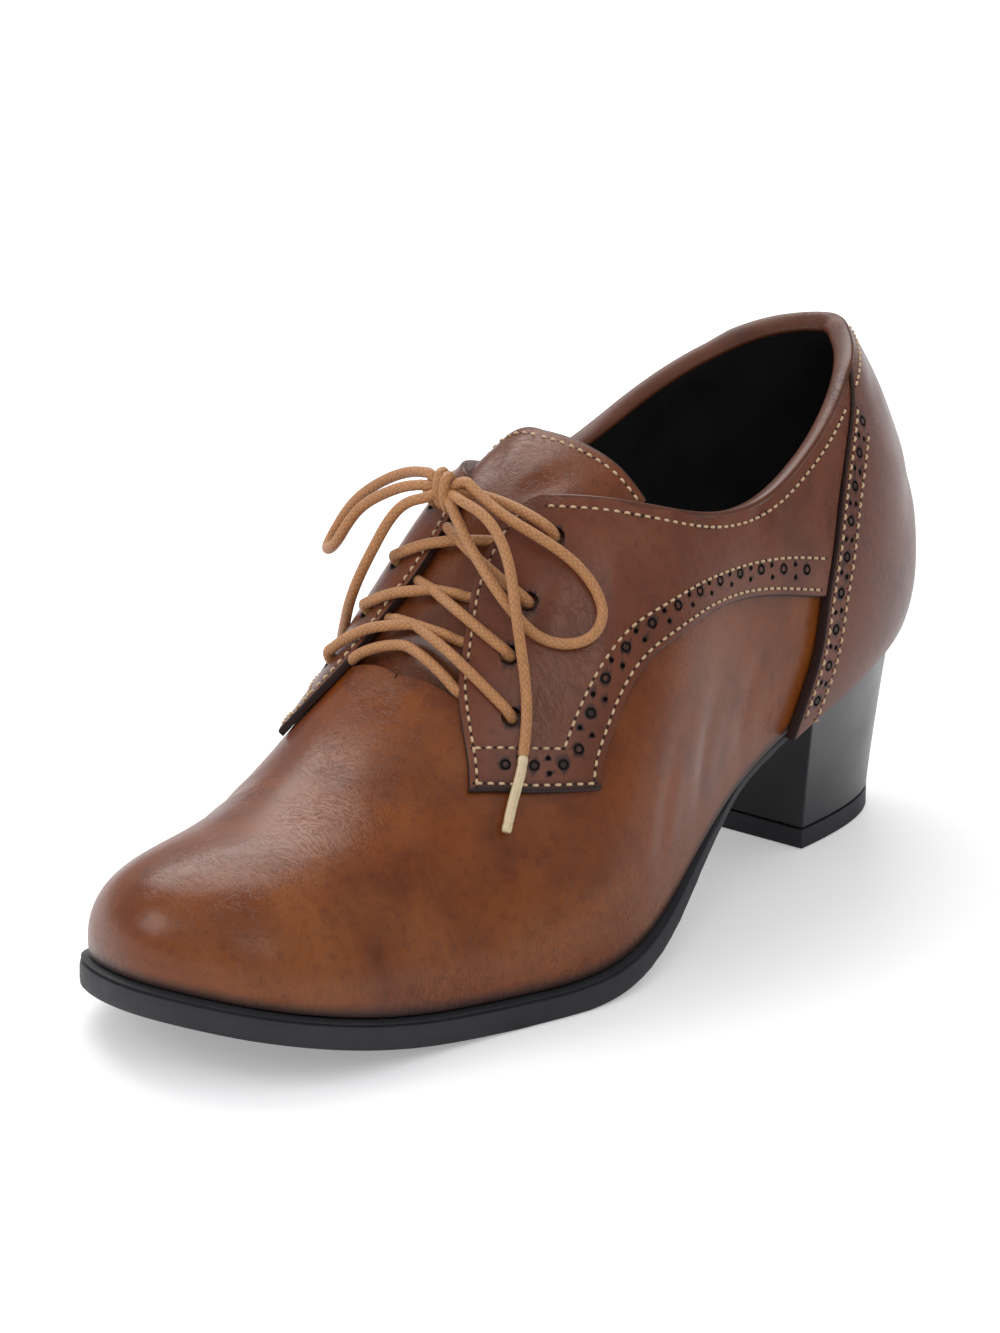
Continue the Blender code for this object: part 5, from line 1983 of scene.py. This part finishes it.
def make_bow(finish):
    """The knot, its two loops and its two ends with their tips."""
    wrap = []
    for t in np.linspace(0, 2 * pi * KNOT_TURNS, KNOT_POINTS):
        share = t / (2 * pi * KNOT_TURNS) - 0.5
        wrap.append((
            KNOT[0] + 0.0032 * share,
            KNOT[1] + 0.0019 * cos(t + 0.6) - 0.0006 * share,
            KNOT[2] + 0.0034 * sin(t + 0.6) - 0.0008 * share,
        ))
    piece, _ = lace_tube("lace_knot_wrap", wrap, finish)
    carry(piece, "lace_cord", "lace_knot")
    tucks = []
    for name, route in ROUTES.items():
        tucks.append((name + "_in", route[0], route[1]))
        if "loop" in name:
            tucks.append((name + "_back", route[-1], route[-2]))
    for name, start, after in tucks:
        start = np.array(start)
        lead = TUCK * unit(start - np.array(after))
        heart = np.array(KNOT) + 0.25 * (start - np.array(KNOT))
        piece, _ = lace_tube(name, [start - lead, start, (start + lead + heart) / 2, heart], finish)
        carry(piece, "lace_cord", "lace_knot")
    for name, route in ROUTES.items():
        piece, points = lace_tube(name + "_cord", route, finish)
        carry(piece, "lace_cord", name)
        if "end" in name:
            tip = name.replace("lace_end", "aglet")
            made = aglet(tip + "_tip", (route[-1], *AGLETS[tip]), finish)
            carry(made, "aglet", tip)


def aglet(name, route, finish):
    """The hard tip of a lace: a thin rolled sleeve with a crimp at each end."""
    points = evenly(route, AGLET_STEP)
    run = unit(np.gradient(points, axis=0))
    across = unit(np.cross(run, (0, 0, 1)))
    s = run_length(points)
    end = np.minimum(s, s[-1] - s)
    thick = AGLET_HALF * (0.80 + 0.20 * soft_step(end / 0.0005))
    for crimp in (CRIMP_FROM_END, s[-1] - CRIMP_FROM_END):
        thick = thick - CRIMP_DEEP * np.exp(-(((s - crimp) / CRIMP_WIDE) ** 2))
    rings = tube_points(points, across, np.cross(across, run), thick, AGLET_SIDES)
    made = mesh_piece(name, rings, ring_faces(len(points), AGLET_SIDES), [aglet_finish(finish)])
    turn_outwards(made)
    return made


def finish_insole(finish):
    """The CAD insole keeps its shape and gets the dark lining's finish."""
    node = bpy.data.objects[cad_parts["insole"].name]
    node.data.materials.clear()
    node.data.materials.append(lining_finish(finish))
    for place in node.material_slots:
        place.material = lining_finish(finish)


VampTone = tone_class("vamp", (
    (0.185, 0.043, 0.005), (0.080, 0.014, 0.003), (0.265, 0.080, 0.016), 62.0, 300.0, 0.25, 0.37,
))
QuarterTone = tone_class("quarter", (
    (0.150, 0.040, 0.016), (0.070, 0.016, 0.008), (0.210, 0.072, 0.040), 52.0, 280.0, 0.26, 0.38,
))
CounterTone = tone_class("counter", (
    (0.135, 0.031, 0.011), (0.060, 0.012, 0.005), (0.195, 0.058, 0.028), 52.0, 280.0, 0.26, 0.37,
))
TongueTone = tone_class("tongue", (
    (0.155, 0.040, 0.010), (0.068, 0.014, 0.005), (0.215, 0.070, 0.026), 58.0, 300.0, 0.27, 0.38,
))
CollarTone = tone_class("collar", (
    (0.105, 0.028, 0.010), (0.048, 0.011, 0.005), (0.150, 0.048, 0.024), 60.0, 300.0, 0.30, 0.42,
))


class SHOE_PG_finish(bpy.types.PropertyGroup):
    """Colours of the whole shoe."""

    vamp: bpy.props.PointerProperty(
        name="Vamp", description="Leather of the vamp", type=VampTone)
    quarter: bpy.props.PointerProperty(
        name="Quarters", description="Leather of the quarters", type=QuarterTone)
    counter: bpy.props.PointerProperty(
        name="Counter", description="Leather of the counter", type=CounterTone)
    tongue: bpy.props.PointerProperty(
        name="Tongue", description="Leather of the tongue", type=TongueTone)
    collar: bpy.props.PointerProperty(
        name="Collar edge", description="Leather of the rolled edge", type=CollarTone)
    cut_edge: colour_property("Cut edge", "Stained cut edge", (0.022, 0.008, 0.006))
    thread: colour_property("Thread", "Sewing thread", (0.640, 0.450, 0.270))
    lace: colour_property("Lace", "Waxed lace", (0.430, 0.190, 0.066))
    aglet: colour_property("Aglet", "Tip of the lace", (0.640, 0.500, 0.300))
    rubber: colour_property("Rubber", "Sole and top lift", (0.022, 0.023, 0.027))
    heel: colour_property("Heel cover", "Heel block", (0.013, 0.013, 0.016))
    lining: colour_property("Lining", "Lining and insole", (0.010, 0.010, 0.012))


class SHOE_PG_stage(bpy.types.PropertyGroup):
    """Light on the shoe."""

    room_light: number_property("Room", "Strength of the light from all round", 0.78)
    room_gloss: number_property("Room in gloss", "Strength of the room as polish reflects it", 0.30)
    window_light: number_property("Window", "Power of the light from behind", 13.0, unit="POWER")
    front_light: number_property("Front", "Power of the light from the front", 4.5, unit="POWER")
    toe_light: number_property("Toe", "Power of the light on the toe", 5.0, unit="POWER")


class SHOE_OT_stage(bpy.types.Operator):
    """Add the floor, the light and the camera"""

    bl_idname = "shoe.add_stage"
    bl_label = "Stage"

    def execute(self, context):
        make_stage(context.scene.shoe_stage)
        return {"FINISHED"}


class SHOE_OT_bow(bpy.types.Operator):
    """Add the knot, the loops and the ends of the lace"""

    bl_idname = "shoe.add_bow"
    bl_label = "Bow"

    def execute(self, context):
        make_bow(context.scene.shoe_finish)
        return {"FINISHED"}


class SHOE_OT_crossings(bpy.types.Operator):
    """Run the lace through the eyelets"""

    bl_idname = "shoe.add_crossings"
    bl_label = "Lace crossings"

    def execute(self, context):
        make_crossings(context.scene.shoe_finish)
        return {"FINISHED"}


class SHOE_OT_vamp(bpy.types.Operator):
    """Add the vamp and its lining"""

    bl_idname = "shoe.add_vamp"
    bl_label = "Vamp and lining"

    def execute(self, context):
        make_vamp(context.scene.shoe_finish)
        return {"FINISHED"}


class SHOE_OT_quarters(bpy.types.Operator):
    """Add both quarters with their punched bands and eyelets"""

    bl_idname = "shoe.add_quarters"
    bl_label = "Quarters"

    def execute(self, context):
        finish = context.scene.shoe_finish
        make_quarter("quarter_lateral", 1, finish)
        make_quarter("quarter_medial", -1, finish)
        return {"FINISHED"}


class SHOE_OT_counter(bpy.types.Operator):
    """Add the counter round the heel"""

    bl_idname = "shoe.add_counter"
    bl_label = "Counter"

    def execute(self, context):
        make_counter(context.scene.shoe_finish)
        return {"FINISHED"}


class SHOE_OT_tongue(bpy.types.Operator):
    """Add the tongue"""

    bl_idname = "shoe.add_tongue"
    bl_label = "Tongue"

    def execute(self, context):
        make_tongue(context.scene.shoe_finish)
        return {"FINISHED"}


class SHOE_OT_collar(bpy.types.Operator):
    """Add the rolled edge of the topline"""

    bl_idname = "shoe.add_collar"
    bl_label = "Collar edge"

    def execute(self, context):
        make_collar(context.scene.shoe_finish)
        return {"FINISHED"}


class SHOE_OT_stitching(bpy.types.Operator):
    """Sew every seam that shows"""

    bl_idname = "shoe.add_stitching"
    bl_label = "Stitching"

    def execute(self, context):
        make_stitching(context.scene.shoe_finish)
        return {"FINISHED"}


class SHOE_OT_sole(bpy.types.Operator):
    """Add the outsole and finish the insole"""

    bl_idname = "shoe.add_sole"
    bl_label = "Sole"

    def execute(self, context):
        make_sole(context.scene.shoe_finish)
        finish_insole(context.scene.shoe_finish)
        return {"FINISHED"}


class SHOE_OT_heel(bpy.types.Operator):
    """Add the heel and its top lift"""

    bl_idname = "shoe.add_heel"
    bl_label = "Heel"

    def execute(self, context):
        make_heel(context.scene.shoe_finish)
        return {"FINISHED"}


OPERATORS = (
    SHOE_OT_stage,
    SHOE_OT_bow,
    SHOE_OT_crossings,
    SHOE_OT_vamp,
    SHOE_OT_quarters,
    SHOE_OT_counter,
    SHOE_OT_tongue,
    SHOE_OT_collar,
    SHOE_OT_stitching,
    SHOE_OT_sole,
    SHOE_OT_heel,
)


class SHOE_PT_panel(bpy.types.Panel):
    """Builds each piece of the shoe and shows its colours"""

    bl_idname = "SHOE_PT_panel"
    bl_label = "Shoe"
    bl_space_type = "VIEW_3D"
    bl_region_type = "UI"
    bl_category = "Shoe"

    def draw(self, context):
        layout = self.layout
        for operator in OPERATORS:
            layout.operator(operator.bl_idname)
        finish = context.scene.shoe_finish
        for name in ("cut_edge", "thread", "lace", "aglet", "rubber", "heel", "lining"):
            layout.prop(finish, name)
        for leather_name in ("vamp", "quarter", "counter", "tongue", "collar"):
            box = layout.box()
            box.label(text=leather_name.capitalize())
            for name in ("colour", "deep", "pale", "clouds", "lines", "smooth", "dull"):
                box.prop(getattr(finish, leather_name), name)
        for name in ("room_light", "room_gloss", "window_light", "front_light", "toe_light"):
            layout.prop(context.scene.shoe_stage, name)


CLASSES = (
    VampTone,
    QuarterTone,
    CounterTone,
    TongueTone,
    CollarTone,
    SHOE_PG_finish,
    SHOE_PG_stage,
    *OPERATORS,
    SHOE_PT_panel,
)


def register():
    for item in CLASSES:
        bpy.utils.register_class(item)
    bpy.types.Scene.shoe_finish = bpy.props.PointerProperty(type=SHOE_PG_finish)
    bpy.types.Scene.shoe_stage = bpy.props.PointerProperty(type=SHOE_PG_stage)


def unregister():
    del bpy.types.Scene.shoe_stage
    del bpy.types.Scene.shoe_finish
    for item in reversed(CLASSES):
        bpy.utils.unregister_class(item)


def main():
    register()
    for operator in OPERATORS:
        group_name, call_name = operator.bl_idname.split(".")
        getattr(getattr(bpy.ops, group_name), call_name)()


if __name__ == "__main__":
    main()
